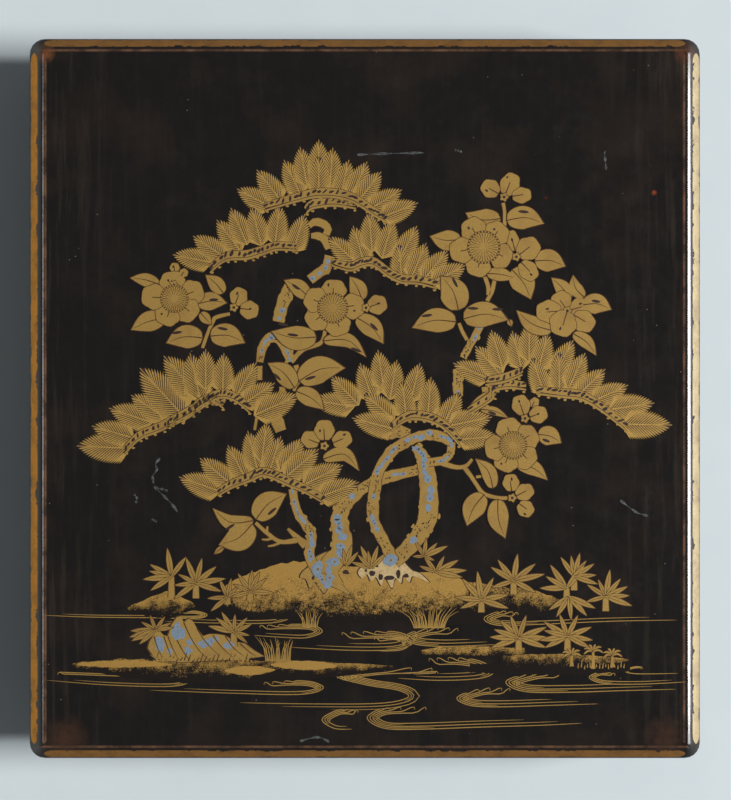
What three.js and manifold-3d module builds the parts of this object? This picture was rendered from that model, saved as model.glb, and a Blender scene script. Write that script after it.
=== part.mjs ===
// Japanese lacquered writing box with an overlapping, bevelled lid and its fitted inside, in millimetres.
// +Z is up, the origin is the middle of the underside, and +Y is the far side as the lid's picture is read.
import * as THREE from "three";
import { mergeVertices } from "three/addons/utils/BufferGeometryUtils.js";
import Module from "manifold-3d";

// The closed box
const LID_WIDTH = 225.5;
const LID_LENGTH = 242;
const CLOSED_HEIGHT = 46;
const LID_CORNER = 5.2; // radius in plan
const SIDE_BOARD = 4; // thickness of the lid's and the body's side boards
const LID_FOOT = 18; // height of the lid's lower edge above the table
const RIM = 41.5; // height of the body's rim, on which the lid's top panel rests
const LID_PLAY = 0.8; // room between the lid's skirt and the body, on each side
const GLUE_LINE = 0.05; // room left at each mitre
const FLOOR = 4; // thickness of the body's bottom panel
const FOOT_EASE = 0.7; // rounding of its lower edge
const BODY_WIDTH = LID_WIDTH - 2 * (SIDE_BOARD + LID_PLAY);
const BODY_LENGTH = LID_LENGTH - 2 * (SIDE_BOARD + LID_PLAY);
const BODY_CORNER = 3.4;
const INSIDE_WIDTH = BODY_WIDTH - 2 * SIDE_BOARD;
const INSIDE_LENGTH = BODY_LENGTH - 2 * SIDE_BOARD;

// The lid's top edge, from the underside of the panel over the bevel and the raised arris to the field.
// Each pair is an inset from the lid's side and a height above the table.
const LID_EDGE = [
  [0, RIM],
  [0, 42.3],
  [0.4, 43],
  [3.9, 45.3],
  [4.3, 45.48],
  [4.8, 45.36],
  [5.4, 45.15],
];
const [FIELD_INSET, FIELD_EDGE_HEIGHT] = LID_EDGE[LID_EDGE.length - 1];
const FIELD_RINGS = [12, 24, 40, 60, 82, 100, 108]; // insets of the rings that carry the crown of the lid
const LEAST_CORNER = 0.9; // corner radius of the rings inside the arris
const SIDE_POINTS = 7; // points along each side of a ring, so that the crown is round both ways

// Battens, which carry the trays and the board round the inkstone
const BATTEN_WIDTH = 10;
const BATTEN_Y = 100;
const LEDGE = 12; // height of the battens' tops above the table

// The board between the trays, with its two openings
const BOARD_WIDTH = 112;
const BOARD_THICKNESS = 5;
const BOARD_CORNER = 1.5;
const BOARD_PLAY = 0.4; // room round the board, the inkstone and the dropper
const BOARD_EASE = 0.6;
const DROPPER_HOLE_CORNER = 8;

// Inkstone
const STONE_WIDTH = 72;
const STONE_LENGTH = 126;
const STONE_HEIGHT = 22;
const STONE_Y = -22;
const STONE_CORNER = 4;
const STONE_EASE = 0.8;
const STONE_LIP = 6.5; // width of the raised border round the grinding face
const WELL_CORNER = 5;
const LAND_DEPTH = 1.6; // the grinding face below the lip, at the near end
const LAND_FALL = 0.5; // how far it falls towards the sea
const SEA_DEPTH = 9.5; // the deep end, which holds the ink
const SEA_WALL = 4.1; // where the sea's far wall turns upright, below the lip

// Water dropper
const DROPPER_RADIUS = 20;
const DROPPER_LOBE = 1.8;
const DROPPER_LOBES = 5;
const DROPPER_CUP_HEIGHT = 17;
const DROPPER_PLATE = 1.4; // thickness of the top plate at its edge
const DROPPER_DOME = 2; // rise of the petals over the edge
const DROPPER_FOLD = 0.45; // share of that rise that the folds between the petals have
const PETAL_RINGS = [0.88, 0.72, 0.54, 0.36, 0.2]; // shares of the radius that carry the dome
const DROPPER_WALL = 1.2;
const DROPPER_Y = 72;
const AIR_HOLE = 1.6;
const SPOUT_BORE = 1.3;
const SPOUT_RADIUS = 2.6;
const SPOUT_HEIGHT = 2.2; // how far the spout stands out of the plate
const SPOUT_OFFSET = 11;
const SOLDER = 0.05; // room round the spout in its hole

// Trays
const TRAY_WIDTH = 46.4;
const TRAY_LENGTH = 221;
const TRAY_HEIGHT = 21;
const TRAY_FLOOR = 2.5;
const TRAY_WALL = 3;
const TRAY_CORNER = 1.2;
const TRAY_PLAY = 0.5; // room between a tray and the box's side
const TRAY_X = INSIDE_WIDTH / 2 - TRAY_WIDTH / 2 - TRAY_PLAY;
const NOTCH_RADIUS = 11;
const NOTCH_CENTRE_ABOVE = 2; // the notch's centre above the end wall's top
const REST_THICKNESS = 6;
const REST_HEIGHT = 6.5;
const REST_FRONT_Y = -70;
const REST_BACK_Y = 45;
const AXIS_HEIGHT = 8; // the tools' axes above the tray's floor
const CRADLE_PLAY = 0.2;
const LANE = 13; // from one tool's axis to the next

// Brushes
const BRUSH_TAIL_Y = -100;
const HANDLE_RADIUS = 4;
const HANDLE_LENGTH = 150;
const HAIR_LENGTH = 24;
const HAIR_RADIUS = 3.3;
const BAMBOO_JOINTS = [34, 82]; // places of the handle's joints from its tail
const BAMBOO_WAIST = 0.25; // how much thinner the cane is between its joints
const CAP_RADIUS = 5.6;
const CAP_BORE = 4.2;
const CAP_OVERLAP = 18; // how far the cap covers the handle
const CAP_END = 3; // thickness of the cap's closed end
const CAP_HEADROOM = 3;

// Ink stick holder
const HOLDER_TAIL_Y = -95;
const HOLDER_LENGTH = 160;
const HOLDER_RADIUS = 4.1;
const HOLDER_SLIT = 1.8; // height of the cut that makes the jaws spring
const HOLDER_SLIT_LENGTH = 44;
const JAW_GAP = 4.8; // height of the gap that takes the ink stick
const JAW_DEPTH = 12;
const RING_RADIUS = 5.3;
const RING_BORE = 4.3;
const RING_LENGTH = 5;
const RING_Y = 12;

// Paper knife
const KNIFE_JOINT_Y = -18; // where the sheath's mouth meets the collar
const SHEATH_LENGTH = 82;
const SHEATH_WIDTH = 11.4;
const SHEATH_THICKNESS = 8;
const BLADE_WIDTH = 7.4;
const BLADE_THICKNESS = 1.6;
const BLADE_LENGTH = 68;
const BLADE_POINT = 12; // length of the curve from the edge to the point
const BLADE_GRIND = 0.13; // slope of the ground face, in radians
const BLADE_ROOM = 0.5; // room round the blade in its sheath
const BLADE_HEADROOM = 4; // room past its point
const COLLAR_LENGTH = 6;
const COLLAR_INSET = 0.3;
const KNIFE_HANDLE_LENGTH = 74;
const MOUTH_GAP = 0.2; // between a sheath's mouth and what it meets

// Awl
const AWL_JOINT_Y = -42;
const AWL_SHEATH_LENGTH = 58;
const AWL_RADIUS = 4.4;
const AWL_HANDLE_LENGTH = 95;
const NEEDLE_LENGTH = 44;
const NEEDLE_RADIUS = 1.3;
const NEEDLE_ROOM = 0.5;
const NEEDLE_HEADROOM = 3;
const FERRULE_LENGTH = 5; // the narrower neck of the awl's handle

// Ink stick
const STICK_WIDTH = 13;
const STICK_LENGTH = 74;
const STICK_THICKNESS = 7.5;
const STICK_CORNER = 2.5;
const STICK_EASE = 0.8;
const RUBBED_SLOPE = 0.2; // slope of the worn end, in radians
const STICK_Y = -12;

const wasm = await Module();
wasm.setup();

const finish = (color, roughness, metalness = 0) =>
  new THREE.MeshStandardMaterial({ color, roughness, metalness });
const blackLacquer = finish(0x211d1b, 0.3);
const flakedLacquer = finish(0x4a3018, 0.35);
const slate = finish(0x33363a, 0.7);
const giltCopper = finish(0xb98a45, 0.35, 1);
const bamboo = finish(0xa67c45, 0.5);
const brushHair = finish(0xcdb894, 0.85);
const soot = finish(0x1d1c1f, 0.6);
const steel = finish(0xa9adb1, 0.3, 1);
const redLacquer = finish(0x5c1d14, 0.35);

// Turns a closed geometry into a solid that can be joined and cut.
function solidOf(geometry) {
  const bare = geometry.index ? geometry.toNonIndexed() : geometry.clone();
  bare.deleteAttribute("normal");
  bare.deleteAttribute("uv");
  const merged = mergeVertices(bare, 1e-4);
  const vertProperties = merged.attributes.position.array;
  const triVerts = new Uint32Array(merged.index.array);
  return new wasm.Manifold(new wasm.Mesh({ numProp: 3, vertProperties, triVerts }));
}

function geometryOf(solid) {
  const mesh = solid.getMesh();
  const geometry = new THREE.BufferGeometry();
  geometry.setAttribute("position", new THREE.BufferAttribute(new Float32Array(mesh.vertProperties), 3));
  geometry.setIndex(new THREE.BufferAttribute(new Uint32Array(mesh.triVerts), 1));
  geometry.computeVertexNormals();
  return geometry;
}

function cut(geometry, ...tools) {
  return geometryOf(tools.reduce((left, tool) => left.subtract(solidOf(tool)), solidOf(geometry)));
}

function keepInside(geometry, limit) {
  return geometryOf(solidOf(geometry).intersect(solidOf(limit)));
}

// The outline of a rectangle with round corners, anticlockwise.
function roundedOutline(width, length, radius, steps = 6) {
  const signs = [[1, 1], [-1, 1], [-1, -1], [1, -1]];
  return signs.flatMap(([sx, sy], quarter) =>
    Array.from({ length: steps + 1 }, (_, k) => {
      const angle = ((quarter + k / steps) * Math.PI) / 2;
      const x = sx * (width / 2 - radius) + radius * Math.cos(angle);
      const y = sy * (length / 2 - radius) + radius * Math.sin(angle);
      return new THREE.Vector2(x, y);
    }),
  );
}

// A flat board of any outline, from one height to another, with its upper and lower edges eased.
function board(outline, from, to, ease = 0) {
  const shape = new THREE.Shape(outline);
  const settings = {
    depth: to - from - 2 * ease,
    bevelEnabled: ease > 0,
    bevelThickness: ease,
    bevelSize: ease,
    bevelOffset: -ease,
    bevelSegments: 1,
  };
  return new THREE.ExtrudeGeometry(shape, settings).translate(0, 0, from + ease);
}

// A block with sharp edges, centred in X and Y, standing on a height.
function block(width, length, height, base = 0) {
  return new THREE.BoxGeometry(width, length, height).translate(0, 0, base + height / 2);
}

// A turned piece whose axis is Y. The profile is pairs of radius and place along the axis.
function turned(profile, segments = 20) {
  return new THREE.LatheGeometry(profile.map(([r, y]) => new THREE.Vector2(r, y)), segments);
}

// A profile drawn across X and Z, drawn out along Y and centred on a place.
function acrossY(shape, thickness, y) {
  const toRow = new THREE.Matrix4().makeBasis(
    new THREE.Vector3(1, 0, 0),
    new THREE.Vector3(0, 0, 1),
    new THREE.Vector3(0, -1, 0),
  );
  return new THREE.ExtrudeGeometry(shape, { depth: thickness, bevelEnabled: false, curveSegments: 8 })
    .applyMatrix4(toRow)
    .translate(0, y + thickness / 2, 0);
}

// Joins rings of equal counts, lowest first, into one closed skin with a fan at each end.
function loft(rings) {
  const count = rings[0].length;
  const middle = (ring) => ring.reduce((sum, p) => sum.add(p), new THREE.Vector3()).divideScalar(count);
  const points = [...rings.flat(), middle(rings[0]), middle(rings[rings.length - 1])];
  const low = rings.length * count;
  const high = low + 1;
  const top = (rings.length - 1) * count;
  const faces = [];
  for (let i = 0; i < count; i++) {
    const next = (i + 1) % count;
    for (let r = 0; r < rings.length - 1; r++) {
      const a = r * count + i;
      const b = r * count + next;
      faces.push(a, b, b + count, a, b + count, a + count);
    }
    faces.push(low, next, i, high, top + i, top + next);
  }
  const geometry = new THREE.BufferGeometry().setFromPoints(points);
  geometry.setIndex(faces);
  geometry.computeVertexNormals();
  return geometry;
}

function place(group, name, geometry, material) {
  const mesh = new THREE.Mesh(geometry, material);
  mesh.name = name;
  group.add(mesh);
  return mesh;
}

function groupAt(parent, x = 0, y = 0, z = 0) {
  const group = new THREE.Group();
  group.position.set(x, y, z);
  parent.add(group);
  return group;
}

// A rounded outline with more points along its straight sides.
function dividedSides(outline, count) {
  const perCorner = outline.length / 4;
  return outline.flatMap((point, i) => {
    if ((i + 1) % perCorner) return [point];
    const next = outline[(i + 1) % outline.length];
    const between = Array.from({ length: count }, (_, k) => point.clone().lerp(next, (k + 1) / (count + 1)));
    return [point, ...between];
  });
}

// A flat ring of points at a height, which may depend on the place.
function ringOf(outline, height) {
  return outline.map((p) => new THREE.Vector3(p.x, p.y, typeof height === "function" ? height(p) : height));
}

// The top panel is a loft: its edge is bevelled to a raised arris, and the field inside swells gently.
function lidTopPanel() {
  const outlineAt = (inset) => {
    const corner = Math.max(LID_CORNER - inset, LEAST_CORNER);
    return dividedSides(roundedOutline(LID_WIDTH - 2 * inset, LID_LENGTH - 2 * inset, corner), SIDE_POINTS);
  };
  const halfWidth = LID_WIDTH / 2 - FIELD_INSET;
  const halfLength = LID_LENGTH / 2 - FIELD_INSET;
  const crown = (p) => {
    const swell = (1 - (p.x / halfWidth) ** 2) * (1 - (p.y / halfLength) ** 2);
    return FIELD_EDGE_HEIGHT + (CLOSED_HEIGHT - FIELD_EDGE_HEIGHT) * swell;
  };
  const edge = LID_EDGE.map(([inset, height]) => ringOf(outlineAt(inset), height));
  const field = FIELD_RINGS.map((inset) => ringOf(outlineAt(inset), crown));
  return loft([...edge, ...field]);
}

// One mitred side board on the +Y side, with half of each round corner.
function mitredSide(halfAcross, halfOut, radius, foot, head) {
  const inner = halfAcross - SIDE_BOARD - GLUE_LINE;
  const mitre = Math.PI / 4 + GLUE_LINE / radius;
  const centre = halfAcross - radius;
  const shape = new THREE.Shape();
  shape.moveTo(-inner, halfOut - SIDE_BOARD);
  shape.lineTo(inner, halfOut - SIDE_BOARD);
  shape.absarc(centre, halfOut - radius, radius, mitre, Math.PI / 2);
  shape.absarc(-centre, halfOut - radius, radius, Math.PI / 2, Math.PI - mitre);
  shape.closePath();
  return new THREE.ExtrudeGeometry(shape, { depth: head - foot, bevelEnabled: false, curveSegments: 3 })
    .translate(0, 0, foot);
}

// The four side boards of the lid or of the body.
function addSides(group, prefix, width, length, radius, foot, head) {
  const turns = [["back", 0], ["left", 1], ["front", 2], ["right", 3]];
  for (const [side, quarter] of turns) {
    const [across, out] = quarter % 2 ? [length / 2, width / 2] : [width / 2, length / 2];
    const geometry = mitredSide(across, out, radius, foot, head).rotateZ((quarter * Math.PI) / 2);
    place(group, `${prefix}_${side}_side`, geometry, blackLacquer);
  }
}

function addLid(root) {
  const lid = groupAt(root);
  place(lid, "lid_top_panel", lidTopPanel(), blackLacquer);
  addSides(lid, "lid", LID_WIDTH, LID_LENGTH, LID_CORNER, LID_FOOT, RIM);
}

function addBody(root) {
  const body = groupAt(root);
  const foot = [[FOOT_EASE, 0], [FOOT_EASE / 4, FOOT_EASE / 3], [0, FOOT_EASE], [0, FLOOR]];
  const bottom = foot.map(([inset, height]) =>
    ringOf(roundedOutline(BODY_WIDTH - 2 * inset, BODY_LENGTH - 2 * inset, BODY_CORNER - inset), height));
  place(body, "body_bottom_panel", loft(bottom), blackLacquer);
  addSides(body, "body", BODY_WIDTH, BODY_LENGTH, BODY_CORNER, FLOOR, RIM);
  for (const [name, y] of [["front_batten", -BATTEN_Y], ["back_batten", BATTEN_Y]]) {
    const batten = block(INSIDE_WIDTH - 2 * GLUE_LINE, BATTEN_WIDTH, LEDGE - FLOOR, FLOOR);
    place(body, name, batten.translate(0, y, 0), flakedLacquer);
  }
}

// How full a petal of the water dropper is at an angle: 1 along its middle, 0 in the fold between two.
const petal = (angle) => Math.abs(Math.cos((DROPPER_LOBES * angle) / 2));

// The five-lobed outline of the water dropper.
function lobedOutline(radius, steps = 60) {
  return Array.from({ length: steps }, (_, k) => {
    const angle = (k / steps) * 2 * Math.PI;
    const reach = radius + DROPPER_LOBE * petal(angle);
    return new THREE.Vector2(reach * Math.cos(angle), reach * Math.sin(angle));
  });
}

// The dropper's top plate swells into five petals with folds between them.
function petalPlate() {
  const outline = lobedOutline(DROPPER_RADIUS);
  const shrunk = (share) => outline.map((p) => p.clone().multiplyScalar(share));
  const edge = [[1, 0], [1, DROPPER_PLATE], [0.97, DROPPER_PLATE + 0.3]];
  const dome = PETAL_RINGS.map((share) => ringOf(shrunk(share), (p) => {
    const swell = DROPPER_FOLD + (1 - DROPPER_FOLD) * petal(p.angle());
    return DROPPER_PLATE + DROPPER_DOME * Math.sqrt(1 - share ** 2) * swell;
  }));
  return loft([...edge.map(([share, height]) => ringOf(shrunk(share), height)), ...dome]);
}

function addInkstoneBoard(root) {
  const top = LEDGE + BOARD_THICKNESS;
  const outline = roundedOutline(BOARD_WIDTH, INSIDE_LENGTH - 2 * BOARD_PLAY, BOARD_CORNER);
  const opening = (width, length, corner, y) =>
    board(roundedOutline(width + 2 * BOARD_PLAY, length + 2 * BOARD_PLAY, corner), LEDGE - 1, top + 1)
      .translate(0, y, 0);
  const dropperWidth = 2 * (DROPPER_RADIUS + DROPPER_LOBE);
  const sheet = cut(
    board(outline, LEDGE, top, BOARD_EASE),
    opening(STONE_WIDTH, STONE_LENGTH, STONE_CORNER, STONE_Y),
    opening(dropperWidth, dropperWidth, DROPPER_HOLE_CORNER, DROPPER_Y),
  );
  place(groupAt(root), "inkstone_board", sheet, flakedLacquer);
}

// The grinding face is a flat land that slopes down into the deep sea at the far end, inside a raised lip.
// The places of its bends along Y are shares of its half length.
function addInkstone(root) {
  const top = STONE_HEIGHT;
  const land = top - LAND_DEPTH;
  const sea = top - SEA_DEPTH;
  const reach = STONE_LENGTH / 2 - STONE_LIP;
  const side = new THREE.Shape();
  side.moveTo(-reach, top + 1);
  side.lineTo(-reach, land);
  side.lineTo(reach * 0.2, land - LAND_FALL);
  side.bezierCurveTo(reach * 0.42, land - LAND_FALL - 0.3, reach * 0.5, sea, reach * 0.74, sea);
  side.bezierCurveTo(reach * 0.92, sea, reach, sea + 1.5, reach, top - SEA_WALL);
  side.lineTo(reach, top + 1);
  side.closePath();
  const wellWidth = STONE_WIDTH - 2 * STONE_LIP;
  const alongY = new THREE.Matrix4().makeBasis(
    new THREE.Vector3(0, 1, 0),
    new THREE.Vector3(0, 0, 1),
    new THREE.Vector3(1, 0, 0),
  );
  const trough = new THREE.ExtrudeGeometry(side, { depth: wellWidth, bevelEnabled: false, curveSegments: 8 })
    .applyMatrix4(alongY)
    .translate(-wellWidth / 2, 0, 0);
  const wellOutline = roundedOutline(wellWidth - 2 * GLUE_LINE, 2 * (reach - GLUE_LINE), WELL_CORNER);
  const limit = board(wellOutline, 0, top + 2);
  const slab = board(roundedOutline(STONE_WIDTH, STONE_LENGTH, STONE_CORNER), 0, STONE_HEIGHT, STONE_EASE);
  place(groupAt(root, 0, STONE_Y, FLOOR), "inkstone", cut(slab, keepInside(trough, limit)), slate);
}

function addDropper(root) {
  const dropper = groupAt(root, 0, DROPPER_Y, FLOOR);
  const outer = board(lobedOutline(DROPPER_RADIUS), 0, DROPPER_CUP_HEIGHT);
  const inner = board(lobedOutline(DROPPER_RADIUS - DROPPER_WALL), DROPPER_WALL, DROPPER_CUP_HEIGHT + 1);
  place(dropper, "dropper_cup", cut(outer, inner), giltCopper);
  const hole = (radius, x) =>
    new THREE.CylinderGeometry(radius, radius, DROPPER_RADIUS, 16).rotateX(Math.PI / 2).translate(x, 0, 0);
  const plate = cut(petalPlate(), hole(AIR_HOLE, 0), hole(SPOUT_RADIUS + SOLDER, SPOUT_OFFSET));
  place(dropper, "dropper_top_plate", plate.translate(0, 0, DROPPER_CUP_HEIGHT), giltCopper);
  const top = DROPPER_PLATE + DROPPER_DOME + SPOUT_HEIGHT;
  const spoutProfile = [
    [SPOUT_BORE, 0],
    [SPOUT_RADIUS, 0],
    [SPOUT_RADIUS, top - SPOUT_HEIGHT / 2],
    [SPOUT_RADIUS - 0.5, top],
    [SPOUT_BORE, top],
    [SPOUT_BORE, 0],
  ];
  const spout = turned(spoutProfile).rotateX(Math.PI / 2).translate(SPOUT_OFFSET, 0, DROPPER_CUP_HEIGHT);
  place(dropper, "dropper_spout", spout, giltCopper);
}

// A tray's end wall, with a round dip to take a finger.
function trayEnd(y) {
  const half = TRAY_WIDTH / 2 - TRAY_WALL;
  const dip = Math.sqrt(NOTCH_RADIUS ** 2 - NOTCH_CENTRE_ABOVE ** 2);
  const low = Math.asin(NOTCH_CENTRE_ABOVE / NOTCH_RADIUS);
  const shape = new THREE.Shape();
  shape.moveTo(-half, TRAY_FLOOR);
  shape.lineTo(half, TRAY_FLOOR);
  shape.lineTo(half, TRAY_HEIGHT);
  shape.lineTo(dip, TRAY_HEIGHT);
  shape.absarc(0, TRAY_HEIGHT + NOTCH_CENTRE_ABOVE, NOTCH_RADIUS, -low, low - Math.PI, true);
  shape.lineTo(-half, TRAY_HEIGHT);
  shape.closePath();
  return acrossY(shape, TRAY_WALL, y);
}

// A rest across the tray, scalloped for the tools. Each cradle is a place across the tray and a tool's half
// width, with its half height where the tool is oval.
function trayRest(cradles, y) {
  const half = TRAY_WIDTH / 2 - TRAY_WALL;
  const axis = TRAY_FLOOR + AXIS_HEIGHT;
  const crest = TRAY_FLOOR + REST_HEIGHT;
  const shape = new THREE.Shape();
  shape.moveTo(-half, TRAY_FLOOR);
  shape.lineTo(half, TRAY_FLOOR);
  shape.lineTo(half, crest);
  for (const [x, halfWidth, halfHeight = halfWidth] of [...cradles].sort((a, b) => b[0] - a[0])) {
    const high = halfHeight + CRADLE_PLAY;
    const low = Math.asin((axis - crest) / high);
    shape.absellipse(x, axis, halfWidth + CRADLE_PLAY, high, -low, low - Math.PI, true);
  }
  shape.lineTo(-half, crest);
  shape.closePath();
  return acrossY(shape, REST_THICKNESS, y);
}

// A tray with its floor, its four walls and its two rests. The outer side is the one next to the box's wall.
function addTray(root, prefix, x, frontCradles, backCradles) {
  const tray = groupAt(root, x, 0, LEDGE);
  const outward = Math.sign(x);
  const sideX = TRAY_WIDTH / 2 - TRAY_WALL / 2;
  const endY = TRAY_LENGTH / 2 - TRAY_WALL / 2;
  const floor = board(roundedOutline(TRAY_WIDTH, TRAY_LENGTH, TRAY_CORNER, 3), 0, TRAY_FLOOR);
  const side = (at) =>
    block(TRAY_WALL, TRAY_LENGTH, TRAY_HEIGHT - TRAY_FLOOR, TRAY_FLOOR).translate(at, 0, 0);
  place(tray, `${prefix}_floor`, floor, flakedLacquer);
  place(tray, `${prefix}_outer_side`, side(outward * sideX), flakedLacquer);
  place(tray, `${prefix}_inner_side`, side(-outward * sideX), flakedLacquer);
  place(tray, `${prefix}_front_end`, trayEnd(-endY), flakedLacquer);
  place(tray, `${prefix}_back_end`, trayEnd(endY), flakedLacquer);
  place(tray, `${prefix}_front_rest`, trayRest(frontCradles, REST_FRONT_Y), blackLacquer);
  place(tray, `${prefix}_back_rest`, trayRest(backCradles, REST_BACK_Y), blackLacquer);
  return tray;
}

// A bamboo handle with two swollen joints, a pointed head of hair and a bamboo cap.
function addBrush(tray, name, x) {
  const brush = groupAt(tray, x, BRUSH_TAIL_Y, TRAY_FLOOR + AXIS_HEIGHT);
  const r = HANDLE_RADIUS;
  const waist = r - BAMBOO_WAIST;
  const jointAt = (y) => [[waist, y - 2], [r, y - 0.6], [r, y + 0.6], [waist, y + 2]];
  const handle = [
    [0, 0],
    [r - 1.2, 0],
    [waist, 1],
    ...BAMBOO_JOINTS.flatMap(jointAt),
    [waist, HANDLE_LENGTH - 1],
    [r - 0.5, HANDLE_LENGTH],
    [0, HANDLE_LENGTH],
  ];
  place(brush, `${name}_handle`, turned(handle), bamboo);
  const hairAt = (width, share) => [HAIR_RADIUS * width, HANDLE_LENGTH + HAIR_LENGTH * share];
  const hair = [
    hairAt(0, 0),
    hairAt(0.9, 0),
    hairAt(1, 0.25),
    hairAt(0.8, 0.55),
    hairAt(0.35, 0.85),
    hairAt(0, 1),
  ];
  place(brush, `${name}_hair`, turned(hair, 16), brushHair);
  const mouth = HANDLE_LENGTH - CAP_OVERLAP;
  const bottom = HANDLE_LENGTH + HAIR_LENGTH + CAP_HEADROOM;
  const cap = [
    [0, bottom],
    [CAP_BORE, bottom],
    [CAP_BORE, mouth],
    [CAP_RADIUS - 0.3, mouth],
    [CAP_RADIUS, mouth + 0.8],
    [CAP_RADIUS, bottom + CAP_END - 1],
    [CAP_RADIUS - 1, bottom + CAP_END],
    [0, bottom + CAP_END],
  ];
  place(brush, `${name}_cap`, turned(cap), bamboo);
}

// A turned rod, slit at the tip into two jaws that grip an ink stick, with a ring that closes them.
function addInkStickHolder(tray, x) {
  const holder = groupAt(tray, x, HOLDER_TAIL_Y, TRAY_FLOOR + AXIS_HEIGHT);
  const r = HOLDER_RADIUS;
  const profile = [
    [0, 0],
    [r - 1, 0],
    [r, 1.5],
    [r, HOLDER_LENGTH - 0.8],
    [r - 0.8, HOLDER_LENGTH],
    [0, HOLDER_LENGTH],
  ];
  const opening = (height, depth) =>
    block(3 * r, 2 * depth, height, -height / 2).translate(0, HOLDER_LENGTH, 0);
  const rod = cut(turned(profile), opening(HOLDER_SLIT, HOLDER_SLIT_LENGTH), opening(JAW_GAP, JAW_DEPTH));
  place(holder, "ink_holder_rod", rod, redLacquer);
  const start = RING_Y - HOLDER_TAIL_Y;
  const ring = [
    [RING_BORE, start],
    [RING_RADIUS, start],
    [RING_RADIUS, start + RING_LENGTH],
    [RING_BORE, start + RING_LENGTH],
    [RING_BORE, start],
  ];
  place(holder, "ink_holder_ring", turned(ring), giltCopper);
}

// An oval section lying in X and Z, drawn out along Y.
function ovalBar(width, height, from, to) {
  const shape = new THREE.Shape();
  shape.absellipse(0, 0, width / 2, height / 2, 0, 2 * Math.PI);
  return acrossY(shape, to - from, (from + to) / 2);
}

// The sheath is hollow for the blade, which the collar and the handle carry.
function addKnife(tray, x) {
  const knife = groupAt(tray, x, KNIFE_JOINT_Y, TRAY_FLOOR + AXIS_HEIGHT);
  const slotHeight = BLADE_THICKNESS + 2 * BLADE_ROOM;
  const slotDepth = BLADE_LENGTH + BLADE_HEADROOM;
  const slot = block(BLADE_WIDTH + 2 * BLADE_ROOM, 2 * slotDepth, slotHeight, -slotHeight / 2);
  const sheath = cut(ovalBar(SHEATH_WIDTH, SHEATH_THICKNESS, -SHEATH_LENGTH, -MOUTH_GAP), slot);
  place(knife, "knife_sheath", sheath, redLacquer);
  const collarWidth = SHEATH_WIDTH - 2 * COLLAR_INSET;
  const collarHeight = SHEATH_THICKNESS - 2 * COLLAR_INSET;
  place(knife, "knife_collar", ovalBar(collarWidth, collarHeight, 0, COLLAR_LENGTH), giltCopper);
  const tail = COLLAR_LENGTH + KNIFE_HANDLE_LENGTH;
  place(knife, "knife_handle", ovalBar(SHEATH_WIDTH, SHEATH_THICKNESS, COLLAR_LENGTH, tail), redLacquer);
  const half = BLADE_WIDTH / 2;
  const outline = new THREE.Shape();
  outline.moveTo(-half, 0);
  outline.lineTo(half, 0);
  outline.lineTo(half, BLADE_POINT - BLADE_LENGTH);
  outline.quadraticCurveTo(half, 2 - BLADE_LENGTH, -half, -BLADE_LENGTH);
  outline.closePath();
  const settings = { depth: BLADE_THICKNESS, bevelEnabled: false, curveSegments: 6 };
  const blade = new THREE.ExtrudeGeometry(outline, settings).translate(0, 0, -BLADE_THICKNESS / 2);
  const grind = block(BLADE_WIDTH, 2 * BLADE_LENGTH, BLADE_WIDTH)
    .rotateY(BLADE_GRIND)
    .translate(half, 0, -BLADE_THICKNESS / 8);
  place(knife, "knife_blade", cut(blade, grind), steel);
}

function addAwl(tray, x) {
  const awl = groupAt(tray, x, AWL_JOINT_Y, TRAY_FLOOR + AXIS_HEIGHT);
  const r = AWL_RADIUS;
  const bore = NEEDLE_RADIUS + NEEDLE_ROOM;
  const boreEnd = -NEEDLE_LENGTH - NEEDLE_HEADROOM;
  const sheath = [
    [0, -AWL_SHEATH_LENGTH],
    [r - 1.2, -AWL_SHEATH_LENGTH],
    [r, -AWL_SHEATH_LENGTH + 1.5],
    [r, -MOUTH_GAP],
    [bore, -MOUTH_GAP],
    [bore, boreEnd],
    [0, boreEnd],
  ];
  place(awl, "awl_sheath", turned(sheath), redLacquer);
  const handle = [
    [0, 0],
    [r - 0.4, 0],
    [r - 0.4, FERRULE_LENGTH],
    [r, FERRULE_LENGTH + 1],
    [r - 0.5, AWL_HANDLE_LENGTH * 0.5],
    [r, AWL_HANDLE_LENGTH - 8],
    [r - 0.4, AWL_HANDLE_LENGTH - 2],
    [r - 2, AWL_HANDLE_LENGTH],
    [0, AWL_HANDLE_LENGTH],
  ];
  place(awl, "awl_handle", turned(handle), redLacquer);
  const needle = [
    [0, -NEEDLE_LENGTH],
    [NEEDLE_RADIUS * 0.6, -NEEDLE_LENGTH * 0.6],
    [NEEDLE_RADIUS, -NEEDLE_LENGTH * 0.2],
    [NEEDLE_RADIUS, 0],
    [0, 0],
  ];
  place(awl, "awl_needle", turned(needle, 12), steel);
}

// A moulded stick of ink, worn slanting at the end that has been rubbed.
function addInkStick(tray, x) {
  const outline = roundedOutline(STICK_WIDTH, STICK_LENGTH, STICK_CORNER, 4);
  const worn = block(2 * STICK_WIDTH, STICK_LENGTH, 2 * STICK_LENGTH, -STICK_LENGTH)
    .translate(0, STICK_LENGTH, 0)
    .rotateX(-RUBBED_SLOPE);
  const stick = cut(board(outline, 0, STICK_THICKNESS, STICK_EASE), worn);
  place(groupAt(tray, x, STICK_Y, TRAY_FLOOR), "ink_stick", stick, soot);
}

const writingBox = new THREE.Group();
addLid(writingBox);
addBody(writingBox);
addInkstoneBoard(writingBox);
addInkstone(writingBox);
addDropper(writingBox);

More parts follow.
